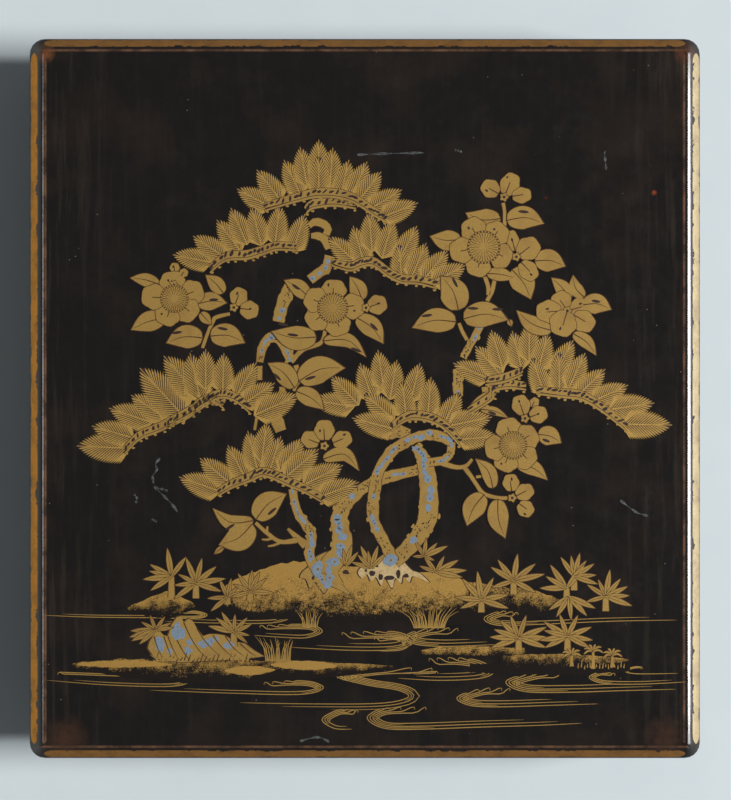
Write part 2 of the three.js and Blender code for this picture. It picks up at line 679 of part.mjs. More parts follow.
const brushLanes = [-LANE, 0];
const knifeLane = -LANE;
const awlLane = 0;
const stickLane = LANE - 1;
const leftTray = addTray(
  writingBox,
  "left_tray",
  -TRAY_X,
  [...brushLanes.map((x) => [x, HANDLE_RADIUS]), [LANE, HOLDER_RADIUS]],
  [...brushLanes.map((x) => [x, CAP_RADIUS]), [LANE, HOLDER_RADIUS]],
);
addBrush(leftTray, "brush_1", brushLanes[0]);
addBrush(leftTray, "brush_2", brushLanes[1]);
addInkStickHolder(leftTray, LANE);
const rightCradles = [[knifeLane, SHEATH_WIDTH / 2, SHEATH_THICKNESS / 2], [awlLane, AWL_RADIUS]];
const rightTray = addTray(writingBox, "right_tray", TRAY_X, rightCradles, rightCradles);
addKnife(rightTray, knifeLane);
addAwl(rightTray, awlLane);
addInkStick(rightTray, stickLane);

export default writingBox;
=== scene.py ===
import math
import random

import bmesh
import bpy
from mathutils import Matrix, Vector, noise


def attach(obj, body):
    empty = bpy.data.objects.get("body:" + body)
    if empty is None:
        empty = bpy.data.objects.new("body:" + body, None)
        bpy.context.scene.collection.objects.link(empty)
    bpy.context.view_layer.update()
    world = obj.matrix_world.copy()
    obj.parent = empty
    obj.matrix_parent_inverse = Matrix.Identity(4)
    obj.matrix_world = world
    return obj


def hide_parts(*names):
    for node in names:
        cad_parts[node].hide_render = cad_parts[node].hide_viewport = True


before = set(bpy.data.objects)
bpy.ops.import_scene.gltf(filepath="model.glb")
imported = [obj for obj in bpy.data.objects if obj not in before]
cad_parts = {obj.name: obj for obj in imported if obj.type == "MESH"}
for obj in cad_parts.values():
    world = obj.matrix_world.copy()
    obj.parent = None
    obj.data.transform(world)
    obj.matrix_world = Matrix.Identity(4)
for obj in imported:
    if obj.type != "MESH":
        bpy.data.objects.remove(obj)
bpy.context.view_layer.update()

# The camera
# It looks straight down on the lid from far off, so that the sides of the box don't splay.
MM = 0.001
LID_TOP = 46 * MM
VIEW_DISTANCE = 950 * MM  # from the lid
VIEW_LENGTH = 268.1 * MM  # what the view takes in from top to bottom, at the lid
SENSOR = 36
camera = bpy.data.objects.new("camera", bpy.data.cameras.new("camera"))
camera.location = (0.25 * MM, -0.5 * MM, LID_TOP + VIEW_DISTANCE)
camera.data.sensor_width = SENSOR
camera.data.lens = SENSOR * VIEW_DISTANCE / VIEW_LENGTH
camera.data.clip_start = 0.05
camera.data.clip_end = 20
bpy.context.scene.collection.objects.link(camera)
bpy.context.scene.camera = camera
bpy.context.scene.view_settings.view_transform = "Standard"


# The floor
# A board painted a pale blue grey, rolled so that its coat is faintly mottled. It isn't part of the
# box.


def linear(code):
    """An sRGB hex colour as the linear values that a shader takes."""
    shares = [int(code[i : i + 2], 16) / 255 for i in (1, 3, 5)]
    return [s / 12.92 if s <= 0.04045 else ((s + 0.055) / 1.055) ** 2.4 for s in shares] + [1]


def add(tree, kind, *values, inputs=None, output=0, **settings):
    """Adds a node with its settings and returns one of its outputs, or all of them.

    The values, or the sockets that feed it, go to the inputs that it uses in turn, some by name.
    """
    node = tree.nodes.new("ShaderNode" + kind)
    for name, value in settings.items():
        setattr(node, name, value)
    in_use = [socket for socket in node.inputs if socket.enabled]
    by_name = [(node.inputs[name], value) for name, value in (inputs or {}).items()]
    for socket, value in [*zip(in_use, values), *by_name]:
        if isinstance(value, bpy.types.NodeSocket):
            tree.links.new(value, socket)
        else:
            socket.default_value = value
    if output == "all":
        return node.outputs
    if output == 0:
        return next(socket for socket in node.outputs if socket.enabled)
    return node.outputs[output]


def finish(name, values):
    """A new material; returns it, its tree, its shader and the place on the piece in millimetres."""
    made = bpy.data.materials.new(name)
    made.use_nodes = True
    tree = made.node_tree
    shader = tree.nodes["Principled BSDF"]
    for socket, value in values.items():
        shader.inputs[socket].default_value = value
    place = add(tree, "TexCoord", output="Object")
    place = add(tree, "VectorMath", place, 1 / MM, operation="SCALE")
    return made, tree, shader, place


def mottled(name, values, patch, detail, dark, pale, rough=()):
    """A material of two tones in patches of this size, and of two roughnesses where they are given."""
    made, tree, shader, place = finish(name, values)
    spread = add(tree, "TexNoise", place, 1 / patch, detail)
    tone = add(tree, "Mix", spread, linear(dark), linear(pale), data_type="RGBA")
    tree.links.new(tone, shader.inputs["Base Color"])
    if rough:
        roughness = add(tree, "MapRange", spread, 0, 1, *rough)
        tree.links.new(roughness, shader.inputs["Roughness"])
    return made


# Matt house paint, in which the roller has left patches of about 20 mm.
painted_board = mottled("painted_board", {"Roughness": 0.8}, 20, 4, "#CCD6DA", "#D3DCDF")
FLOOR_REACH = 6
bm = bmesh.new()
bmesh.ops.create_grid(bm, x_segments=1, y_segments=1, size=FLOOR_REACH)
floor_mesh = bpy.data.meshes.new("floor")
bm.to_mesh(floor_mesh)
bm.free()
floor_mesh.materials.append(painted_board)
floor = bpy.data.objects.new("floor", floor_mesh)
bpy.context.scene.collection.objects.link(floor)

# The studio
# One long soft lamp lies low on the right, so that shadows fall to the left. Pale walls and a dark
# ceiling give the lacquer and the gold something to mirror. Its sizes are in metres.
LAMP_DISTANCE = 6
LAMP_LENGTH = 1.8
LAMP_WIDTH = 0.72
LAMP_ANGLE = math.radians(38)
lamp = bpy.data.objects.new("lamp", bpy.data.lights.new("lamp", "AREA"))
lamp.data.shape = "ELLIPSE"
lamp.data.size = LAMP_LENGTH
lamp.data.size_y = LAMP_WIDTH
toward = Vector((math.cos(LAMP_ANGLE), 0, math.sin(LAMP_ANGLE))).normalized()
lamp.location = toward * LAMP_DISTANCE
lamp.rotation_euler = toward.to_track_quat("Z", "Y").to_euler()
LIT_SHARE = 0.88  # of the light on the floor, the rest of which comes from the room
lamp.data.energy = LIT_SHARE * (math.pi * LAMP_DISTANCE) ** 2 / math.sin(LAMP_ANGLE)
bpy.context.scene.collection.objects.link(lamp)

ROOM_LIGHT = 0.12
WALL_LIGHT = 1.25
END_WALL_SHARE = 0.15  # of that light, from the walls beyond the two ends
CEILING_LIGHT = 0.16
world = bpy.data.worlds.new("studio")
bpy.context.scene.world = world
world.use_nodes = True
tree = world.node_tree
# The room is darker towards the two ends, and from a third of the way up it passes into the ceiling.
direction = add(tree, "TexCoord", output="Generated")
sideways, _, height = add(tree, "SeparateXYZ", direction, output="all")
sideways = add(tree, "Math", sideways, sideways, operation="MULTIPLY")
walls = add(tree, "MapRange", sideways, 0, 0.6, WALL_LIGHT * END_WALL_SHARE, WALL_LIGHT)
walls = add(tree, "MapRange", height, 0.35, 0.85, walls, CEILING_LIGHT)
rays = add(tree, "LightPath", output="all")
mirrored = add(tree, "Math", rays["Is Glossy Ray"], rays["Is Transmission Ray"], operation="MAXIMUM")
seen = add(tree, "Math", mirrored, rays["Is Camera Ray"], operation="MAXIMUM")
strength = add(tree, "MapRange", seen, 0, 1, ROOM_LIGHT, walls)
background = tree.nodes["Background"]
background.inputs["Color"].default_value = linear("#F2F6F8")
tree.links.new(strength, background.inputs["Strength"])

# The lid
# A shell of thin wood under black lacquer. Its edge is a bevel sprinkled with gold, which rises to a
# low ridge, and the field inside the ridge is slightly crowned. It is worn brown along the ridge, as
# is everything handled.
LID_SIZE = (225.5, 242)
LID_CORNER = 5.2
LEAST_CORNER = 0.9
FIELD_INSET = 5.4
FIELD_HEIGHT = 45.15
CROWN = 0.85


def crown(x, y):
    """The height of the field at a place on the lid."""
    half_width = LID_SIZE[0] / 2 - FIELD_INSET
    half_length = LID_SIZE[1] / 2 - FIELD_INSET
    return FIELD_HEIGHT + CROWN * (1 - (x / half_width) ** 2) * (1 - (y / half_length) ** 2)


def outline(bm, size, corner, inset_by, height, cuts=0):
    """Adds the edges of a level rounded rectangle, set in from its full size, and returns them."""
    old = set(bm.edges)
    corner = max(corner - inset_by, LEAST_CORNER)
    verts = bmesh.ops.create_grid(bm, x_segments=1, y_segments=1, size=0.5)["verts"]
    bmesh.ops.scale(bm, vec=(size[0] - 2 * inset_by, size[1] - 2 * inset_by, 1), verts=verts)
    bmesh.ops.translate(bm, vec=(0, 0, height), verts=verts)
    bmesh.ops.bevel(
        bm, geom=verts, offset=corner, segments=5, profile=0.5, affect="VERTICES", material=-1
    )
    made = [edge for edge in bm.edges if edge not in old]
    filled = {face for edge in made for face in edge.link_faces}
    bmesh.ops.delete(bm, geom=list(filled), context="FACES_ONLY")
    if cuts:
        straight = [edge for edge in made if edge.calc_length() > 2 * corner]
        bmesh.ops.subdivide_edges(bm, edges=straight, cuts=cuts)
    return [edge for edge in bm.edges if edge not in old]


def loft(bm, rings):
    """Walls from each outline to the next, and a face over the first and the last."""
    for low, high in zip(rings, rings[1:]):
        bmesh.ops.bridge_loops(bm, edges=low + high)
    for end in (rings[0], rings[-1]):
        bmesh.ops.contextual_create(bm, geom=end)


def piece(name, bm, materials, body, replaced=(), sharp=35):
    """Turns a mesh in millimetres into a piece that rides on a body; edges above an angle are sharp."""
    bmesh.ops.remove_doubles(bm, verts=bm.verts, dist=0.0005)
    bmesh.ops.recalc_face_normals(bm, faces=bm.faces)
    for face in bm.faces:
        face.smooth = True
    for edge in bm.edges:
        edge.smooth = len(edge.link_faces) == 2 and edge.calc_face_angle(0) < math.radians(sharp)
    bmesh.ops.scale(bm, vec=(MM, MM, MM), verts=bm.verts)
    mesh = bpy.data.meshes.new(name)
    bm.to_mesh(mesh)
    bm.free()
    for material in materials:
        mesh.materials.append(material)
    made = bpy.data.objects.new(name, mesh)
    bpy.context.scene.collection.objects.link(made)
    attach(made, body)
    if replaced:
        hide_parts(*replaced)
    return made


# Black lacquer polished to a deep, soft shine, dulled and browned by age. The gold on the bevel is
# powder laid into it, rubbed thin at its edges.
polished_black_lacquer, tree, shader, place = finish(
    "polished_black_lacquer", {"IOR": 1.5, "Coat Roughness": 0.32}
)
x, y, z = add(tree, "SeparateXYZ", place, output="all")
off_x = add(tree, "Math", x, operation="ABSOLUTE")
off_y = add(tree, "Math", y, operation="ABSOLUTE")
from_side = add(tree, "Math", LID_SIZE[0] / 2, off_x, operation="SUBTRACT")
from_end = add(tree, "Math", LID_SIZE[1] / 2, off_y, operation="SUBTRACT")
inset = add(tree, "Math", from_side, from_end, operation="MINIMUM")
beyond = add(tree, "Math", from_side, from_end, operation="MAXIMUM")
# Rubbing follows patches of about 6 mm and grain of about 0.6 mm.
rub = add(tree, "TexNoise", place, 1 / 6, 6, 0.65)
grain = add(tree, "TexNoise", place, 1 / 0.6, 3)

# The mitred corners part the bands of the two ends from those of the sides; the right one is worn the
# most.
at_end = add(tree, "Math", from_end, from_side, operation="LESS_THAN")
at_right = add(tree, "Math", x, 0, operation="GREATER_THAN")
rightward = add(tree, "Math", at_right, at_end, operation="SUBTRACT", use_clamp=True)
most_rubbed = add(tree, "MapRange", rightward, 0, 1, 1.1, 1.7)

# The gold band is 2.7 mm wide. It ends in a round point 5 mm from the corner.
BAND_MIDDLE = 1.7
BAND_HALF_WIDTH = 1.35
BAND_END = 5.0
BAND_POINT = 3.5
to_end = add(tree, "MapRange", beyond, BAND_END + BAND_POINT, BAND_END)
roundness = add(tree, "Math", to_end, to_end, operation="MULTIPLY")
narrowed = add(tree, "Math", 1, roundness, operation="SUBTRACT")
rounded = add(tree, "Math", narrowed, operation="SQRT")
half_width = add(tree, "Math", rounded, BAND_HALF_WIDTH, operation="MULTIPLY")
middle = add(tree, "MapRange", rightward, 0, 1, BAND_MIDDLE, BAND_MIDDLE - 0.25)
from_middle = add(tree, "Math", inset, middle, operation="SUBTRACT")
off_middle = add(tree, "Math", from_middle, operation="ABSOLUTE")
depth = add(tree, "Math", half_width, off_middle, operation="SUBTRACT")
rubbed = add(tree, "MapRange", rub, 0.52, 0.72, 0, most_rubbed)
inward = add(tree, "MapRange", from_middle, -0.5, 0.5, 0.35)
rubbed = add(tree, "Math", rubbed, inward, operation="MULTIPLY")
ragged = add(tree, "MapRange", grain, 0, 1, 0, 0.25)
worn_depth = add(tree, "Math", depth, rubbed, operation="SUBTRACT")
worn_depth = add(tree, "Math", worn_depth, ragged, operation="SUBTRACT")
gold_share = add(tree, "MapRange", worn_depth, -0.12, 0.12)
on_top = add(tree, "MapRange", z, 42.4, 42.8)
gold_share = add(tree, "Math", gold_share, on_top, operation="MULTIPLY")

# Hands have worn the ridge brown, along the sides only at its inner foot.
worn_place = add(tree, "MapRange", at_end, 0, 1, 5.6, 4.2)
off_ridge = add(tree, "Math", inset, worn_place, operation="SUBTRACT")
off_ridge = add(tree, "Math", off_ridge, operation="ABSOLUTE")
ridge = add(tree, "MapRange", off_ridge, 0.6, 0.1)
ridge_wear = add(tree, "MapRange", rub, 0.4, 0.6, 0.25)
ridge_wear = add(tree, "Math", ridge, ridge_wear, operation="MULTIPLY")
# Long streaks lie along the sides of the field, where the lid is held.
stretched = add(tree, "VectorMath", place, (1, 0.06, 1), operation="MULTIPLY")
streaks = add(tree, "TexNoise", stretched, 1 / 3, 5, 0.7)
held = add(tree, "MapRange", from_side, 34, 10, 0.05, 0.26)
streak_share = add(tree, "MapRange", streaks, 0.5, 0.68)
streak_share = add(tree, "Math", streak_share, held, operation="MULTIPLY")
# Brown patches of about 25 mm show where the top coat is thin.
thin = add(tree, "TexNoise", place, 1 / 25, 8, 0.6)
thin_share = add(tree, "MapRange", thin, 0.48, 0.68, 0, 0.55)
black = add(tree, "Mix", thin_share, linear("#14100F"), linear("#2B2119"), data_type="RGBA")
black = add(tree, "Mix", streak_share, black, linear("#4A4036"), data_type="RGBA")
# Dust and chips leave pale specks about 10 mm apart.
specks = add(tree, "TexVoronoi", place, 1 / 7, feature="F1")
speck_share = add(tree, "MapRange", specks, 0.035, 0.02)
black = add(tree, "Mix", speck_share, black, linear("#6E6252"), data_type="RGBA")
black = add(tree, "Mix", ridge_wear, black, linear("#6E4F3A"), data_type="RGBA")
# Two spots of red lacquer show through, and the corners are rubbed to an orange brown.
patchy = add(tree, "MapRange", rub, 0.35, 0.55, 0.25)
RUBBED_SPOTS = (
    ((97.1, 69), 0.8, "#A6512A"),
    ((60.8, 67.3), 0.6, "#5A1C16"),
    ((-107.3, 115.9), 2.8, "#6E4326"),
    ((107.5, 115.9), 3.2, "#5A3622"),
    ((-100.3, -113.6), 6, "#3A261A"),
    ((100.4, -113.6), 6, "#3A261A"),
)
for (spot_x, spot_y), radius, colour in RUBBED_SPOTS:
    away = add(tree, "VectorMath", place, (spot_x, spot_y, FIELD_HEIGHT), operation="DISTANCE")
    share = add(tree, "MapRange", away, radius * 1.4, radius * 0.3)
    share = add(tree, "Math", share, patchy, operation="MULTIPLY")
    black = add(tree, "Mix", share, black, linear(colour), data_type="RGBA")

# On the right the gold keeps its clear coat and is painted paler as highlight; the ends get painted
# shade.
orange_gold = add(tree, "Mix", grain, linear("#B57416"), linear("#DC982C"), data_type="RGBA")
# The right band's paler gold is painted highlight from the lamp on that side.
painted_highlight_gold = add(tree, "Mix", grain, linear("#857552"), linear("#A5946E"), data_type="RGBA")
band_gold = add(tree, "Mix", rightward, orange_gold, painted_highlight_gold, data_type="RGBA")
# A dark blue grey laid over the end bands is painted shade, as the lamp only grazes them.
painted_end_shade = add(tree, "Math", at_end, 0.55, operation="MULTIPLY")
band_gold = add(tree, "Mix", painted_end_shade, band_gold, linear("#303438"), data_type="RGBA")
# Handling has darkened it in drifts of about 4 mm, drawn out along each side.
drawn_out = add(tree, "VectorMath", place, (0.5, 0.5, 1), operation="MULTIPLY")
handling = add(tree, "TexNoise", drawn_out, 1 / 4, 7, 0.75)
darkened = add(tree, "MapRange", handling, 0.46, 0.68, 0, 0.55)
band_gold = add(tree, "Mix", darkened, band_gold, linear("#4C3418"), data_type="RGBA")
colour = add(tree, "Mix", gold_share, black, band_gold, data_type="RGBA")
tree.links.new(colour, shader.inputs["Base Color"])
metal = add(tree, "MapRange", gold_share, 0, 1, 0, 0.7)
tree.links.new(metal, shader.inputs["Metallic"])
# The powder's own clear coat gives the lit bevel its white shine.
clear = add(tree, "MapRange", rightward, 0, 1, 0.2, 1)
clear = add(tree, "Math", clear, gold_share, operation="MULTIPLY")
tree.links.new(clear, shader.inputs["Coat Weight"])
dull = add(tree, "MapRange", rub, 0.3, 0.7, 0.16, 0.3)
roughness = add(tree, "MapRange", gold_share, 0, 1, dull, 0.6)
tree.links.new(roughness, shader.inputs["Roughness"])
ripple = add(tree, "Bump", inputs={"Height": rub, "Distance": 0.02 * MM, "Strength": 0.5})
tree.links.new(ripple, shader.inputs["Normal"])

# Each pair is how far in from the side and how high, from the ceiling down the inside and up the
# outside.
LID_PROFILE = (
    (60, 41.5), (9, 41.5), (4.8, 41.5), (4.2, 41.3), (4, 40.9), (4, 18.6), (3.7, 18.1), (3.2, 18),
    (0.8, 18), (0.25, 18.15), (0, 18.6), (0, 42), (0.06, 42.45), (0.22, 42.78), (0.5, 43.06),
    (3, 44.7), (3.4, 44.94), (3.6, 45.04), (4.35, 45.375), (4.45, 45.405), (4.55, 45.415),
    (4.68, 45.395), (4.8, 45.34), (5.12, 45.167), (5.25, 45.158), (FIELD_INSET, FIELD_HEIGHT),
)
FIELD_RINGS = (9, 16, 26, 40, 60, 82, 100, 108)
SIDE_CUTS = 15  # so that the crown bends every ring
bm = bmesh.new()
rings = []
for inset_by, height in LID_PROFILE:
    rings.append(outline(bm, LID_SIZE, LID_CORNER, inset_by, height, SIDE_CUTS))
for inset_by in FIELD_RINGS:
    rings.append(outline(bm, LID_SIZE, LID_CORNER, inset_by, 0, SIDE_CUTS))
    for vert in {vert for edge in rings[-1] for vert in edge.verts}:
        vert.co.z = crown(vert.co.x, vert.co.y)
loft(bm, rings)
piece(
    "lid_shell", bm, [polished_black_lacquer], "lid",
    ["lid_top_panel", "lid_back_side", "lid_front_side", "lid_left_side", "lid_right_side"],
)

# The picture on the lid
# Gold powder sifted over drawings in wet lacquer and polished, each motif a little raised and edged
# with a fine brown line of bare lacquer. Its motifs are stock ones: pines, camellias, bamboo grass, a
# bank, rocks, a stream.
GOLD, LINE, SILVER, BARE, PALE, BRIGHT = range(6)  # the picture's finishes
# A motif's level is how high it stands over the field, so that what lies in front hides what is behind.
PLATE_SINK = 0.05  # how far the foot of a motif lies inside the lid
EDGE = 0.22  # width of the brown line round a motif
LEAST_WIDTH = 0.04

# Fine powder, silky and even, rubbed to a warmer tone in places.
sprinkled_gold, tree, shader, place = finish("sprinkled_gold", {"Metallic": 0.5, "Roughness": 0.45})
powder = add(tree, "TexNoise", place, 1 / 0.3, 2)
gold = add(tree, "Mix", powder, linear("#8E6A2E"), linear("#CCA75C"), data_type="RGBA")
rubbing = add(tree, "TexNoise", place, 1 / 7, 5, 0.6)
warm_share = add(tree, "MapRange", rubbing, 0.5, 0.72, 0, 0.6)
gold = add(tree, "Mix", warm_share, gold, linear("#9A7440"), data_type="RGBA")
tree.links.new(gold, shader.inputs["Base Color"])

# Umber lacquer, which shows as thin drawn lines.
umber_lacquer = mottled("umber_lacquer", {"Roughness": 0.4}, 1.5, 3, "#33200F", "#573A1C")
# Silver powder tarnished to a mottled blue grey.
silvered = {"Metallic": 0.35, "Roughness": 0.45}
tarnished_silver = mottled("tarnished_silver", silvered, 0.6, 4, "#5F7186", "#9AA9B6")
# Brown-black lacquer bared where an inlay has come away.
bared_lacquer = mottled("bared_lacquer", {"Roughness": 0.5}, 0.8, 4, "#150C09", "#341B0F")
# Gold rubbed pale and bright over the roots.
gilded = {"Metallic": 0.4, "Roughness": 0.45}
rubbed_gold = mottled("rubbed_gold", gilded, 1.2, 4, "#A07C40", "#EDD4A2")
# Gold powder rubbed bright where it stands up in fine lines.
burnished = {"Metallic": 0.5, "Roughness": 0.42}
bright_gold = mottled("bright_gold", burnished, 0.5, 3, "#9C7632", "#E4BA68")


def curve_point(points, share):
    """The place at a share of a smooth curve through some places."""
    position = share * (len(points) - 1)
    index = min(int(position), len(points) - 2)
    t = position - index
    nearby = [min(max(index + step, 0), len(points) - 1) for step in (-1, 0, 1, 2)]
    a, b, c, d = (Vector(points[i]) for i in nearby)
    squared, cubed = 2 * a - 5 * b + 4 * c - d, 3 * b - a - 3 * c + d
    return (2 * b + (c - a) * t + squared * t**2 + cubed * t**3) / 2


def course(points, share, step=0.02):
    """The way ahead along a curve, a step to each side of a share of it."""
    return curve_point(points, min(share + step, 1)) - curve_point(points, max(share - step, 0))


def stroke(bm, points, width, level, coat=GOLD, *, steps, start=0, end=1):
    """A flat ribbon along part of a curve; width is a function of the share of that part."""
    verts = bmesh.ops.create_grid(bm, x_segments=steps, y_segments=1, size=1)["verts"]
    for vert in verts:
        part, side = (vert.co.x + 1) / 2, vert.co.y
        share = start + (end - start) * part
        ahead = course(points, share, 0.01)
        out = Vector((-ahead.y, ahead.x)).normalized() * side * max(width(part), LEAST_WIDTH) / 2
        vert.co = (*(curve_point(points, share) + out), level)
    for face in {face for vert in verts for face in vert.link_faces}:
        face.material_index = coat


def plate(bm, places, level, coat=GOLD):
    """A flat shape with its corners at these places."""
    verts = bmesh.ops.create_circle(bm, cap_ends=True, segments=len(places), radius=1)["verts"]
    for vert, (x, y) in zip(verts, places):
        vert.co = (x, y, level)
    verts[0].link_faces[0].material_index = coat


def patch(bm, centre, reach, level, coat, count):
    """A flat round shape; reach is a function of the angle."""
    angles = [2 * math.pi * k / count for k in range(count)]
    x, y = centre
    plate(bm, [(x + reach(a) * math.cos(a), y + reach(a) * math.sin(a)) for a in angles], level, coat)


def relief(name, bm, coats):
    """Turns flat shapes into thin plates that follow the field, each up to its own level."""
    for vert in bm.verts:
        vert.co.z += crown(vert.co.x, vert.co.y)
    made = bmesh.ops.extrude_face_region(bm, geom=bm.faces[:], use_keep_orig=True)["geom"]
    for vert in made:
        if isinstance(vert, bmesh.types.BMVert):
            vert.co.z = crown(vert.co.x, vert.co.y) - PLATE_SINK
    piece(name, bm, coats, "lid", sharp=30)


picture_coats = [
    sprinkled_gold, umber_lacquer, tarnished_silver, bared_lacquer, rubbed_gold, bright_gold
]

# The bank and its bars
# Powder sifted more and more thinly towards the water, so that the lacquer shows between its grains.
sifted_gold, tree, shader, place = finish("sifted_gold", {"IOR": 1.5})
density = add(tree, "Attribute", attribute_name="sifting", output="Fac")
drifts = add(tree, "TexNoise", place, 1 / 4, 7, 0.7)
grains = add(tree, "TexNoise", place, 1 / 0.35, 2)
cover = add(tree, "Math", drifts, density, operation="ADD")
grain_share = add(tree, "Math", grains, 0.6, operation="MULTIPLY")
cover = add(tree, "Math", cover, grain_share, operation="ADD")
gold_share = add(tree, "MapRange", cover, 1.15, 1.4)
powder_tone = add(tree, "Mix", grains, linear("#8F6A2C"), linear("#C99F52"), data_type="RGBA")
sifted = add(tree, "Mix", gold_share, linear("#18120F"), powder_tone, data_type="RGBA")
tree.links.new(sifted, shader.inputs["Base Color"])
sifted_metal = add(tree, "MapRange", gold_share, 0, 1, 0, 0.45)
tree.links.new(sifted_metal, shader.inputs["Metallic"])
sifted_rough = add(tree, "MapRange", gold_share, 0, 1, 0.25, 0.5)
tree.links.new(sifted_rough, shader.inputs["Roughness"])
BANK_STEPS = 40
BANK_ROWS = 5


def bank(bm, upper, lower, dense, thin, rough, level):
    """Ground between two curves, sifted densely at the upper one and thinly at the lower one."""
    layer = bm.verts.layers.float.get("sifting") or bm.verts.layers.float.new("sifting")
    grid = bmesh.ops.create_grid(bm, x_segments=BANK_STEPS, y_segments=BANK_ROWS, size=1)
    for vert in grid["verts"]:
        share, down = (vert.co.x + 1) / 2, (1 - vert.co.y) / 2
        here = curve_point(upper, share).lerp(curve_point(lower, share), down)
        ragged = noise.noise(Vector((here.x / 2, here.y / 2, 3))) * rough
        end_fade = min(share, 1 - share) * BANK_STEPS / 3
        sifted_here = (dense + (thin - dense) * down**1.5) * min(1, 0.3 + end_fade)
        vert[layer] = sifted_here - (0.3 if down > 0.99 else 0)
        vert.co = (here.x, here.y + ragged, level)


# Each: its upper and its lower edge, how densely it is sifted along each, and how rough they are. The
# right bank, the left tongue, the main mound, the left sandbar with its three bright bars, and three
# bars on the right.
BANKS = (
    (
        ((11.8, -64.3), (25.3, -60.9), (45.4, -62.9), (58.8, -64.9), (67.5, -68.3)),
        ((13.2, -75), (25.3, -76), (45.4, -75), (58.8, -73), (67.5, -70.3)), 0.5, 0.05, 0.7,
    ),
    (
        ((-80.1, -70.3), (-72.1, -67), (-66, -64.9), (-56.6, -69)),
        ((-79.8, -70.8), (-72.1, -73), (-64.7, -73.5), (-56.3, -70)), 0.6, 0.15, 0.7,
    ),
    (
        (
            (-47.9, -64.3), (-43.9, -60.9), (-34.5, -57.2), (-21.7, -54.5), (-5, -56.2), (27, -59),
            (35.3, -62.9),
        ),
        (
            (-47.9, -69.6), (-38.5, -73.3), (-28.4, -74), (-15, -74.7), (-1.6, -75.3), (18.5, -73.7),
            (35.3, -72),
        ),
        0.72, 0.26, 0.7,
    ),
    (
        ((-98.9, -88.8), (-78.8, -87.4), (-55.3, -88.1), (-25.1, -87.8), (10.5, -89.8)),
        ((-98.9, -90.4), (-78.8, -93.5), (-55.3, -95.5), (-25.1, -94.5), (10.5, -90.8)), 0.5, 0.1,
        0.7,
    ),
    (
        ((-96.9, -89.1), (-88.9, -88.1), (-75.4, -87.8), (-64, -89.1)),
        ((-96.9, -89.4), (-88.9, -90.3), (-75.4, -90.4), (-64, -89.4)), 0.85, 0.6, 0.2,
    ),
    (
        ((-47.2, -91.1), (-41.9, -89.8), (-35.8, -89.8), (-29.8, -90.8)),
        ((-47.2, -91.5), (-41.9, -92.6), (-35.8, -92.6), (-29.8, -91.1)), 1, 0.8, 0.2,
    ),
    (
        ((-31.8, -89.1), (-25.1, -88.1), (-15.7, -88.1), (-9, -89.4)),
        ((-31.8, -89.4), (-25.1, -90.8), (-15.7, -90.9), (-9, -89.8)), 1, 0.8, 0.2,
    ),
    (
        ((18.5, -84.4), (25.3, -83.4), (38.7, -83.1), (54.1, -83.7)),
        ((18.5, -86.1), (25.3, -86.4), (38.7, -86.8), (54.1, -86.4)), 0.56, 0.26, 0.5,
    ),
    (
        ((45.4, -86.4), (58.8, -85.7), (75.6, -86.1), (89.7, -87.4)),
        ((45.4, -89.1), (58.8, -90.4), (75.6, -90.8), (89.7, -88.8)), 0.48, 0.1, 0.5,
    ),
    (
        ((35.3, -89.1), (52.1, -88.8), (72.2, -89.1), (89, -89.8)),
        ((35.3, -91.8), (52.1, -92.5), (72.2, -92.5), (89, -91.5)), 0.25, -0.05, 0.7,
    ),
)
bm = bmesh.new()
for number, (upper, lower, dense, thin, rough) in enumerate(BANKS):
    bank(bm, upper, lower, dense, thin, rough, 0.02 + 0.004 * number)
relief("picture_banks", bm, [sifted_gold])

# The stream
# Bundles of fine lines that lie close together where the water runs and open out into curls.

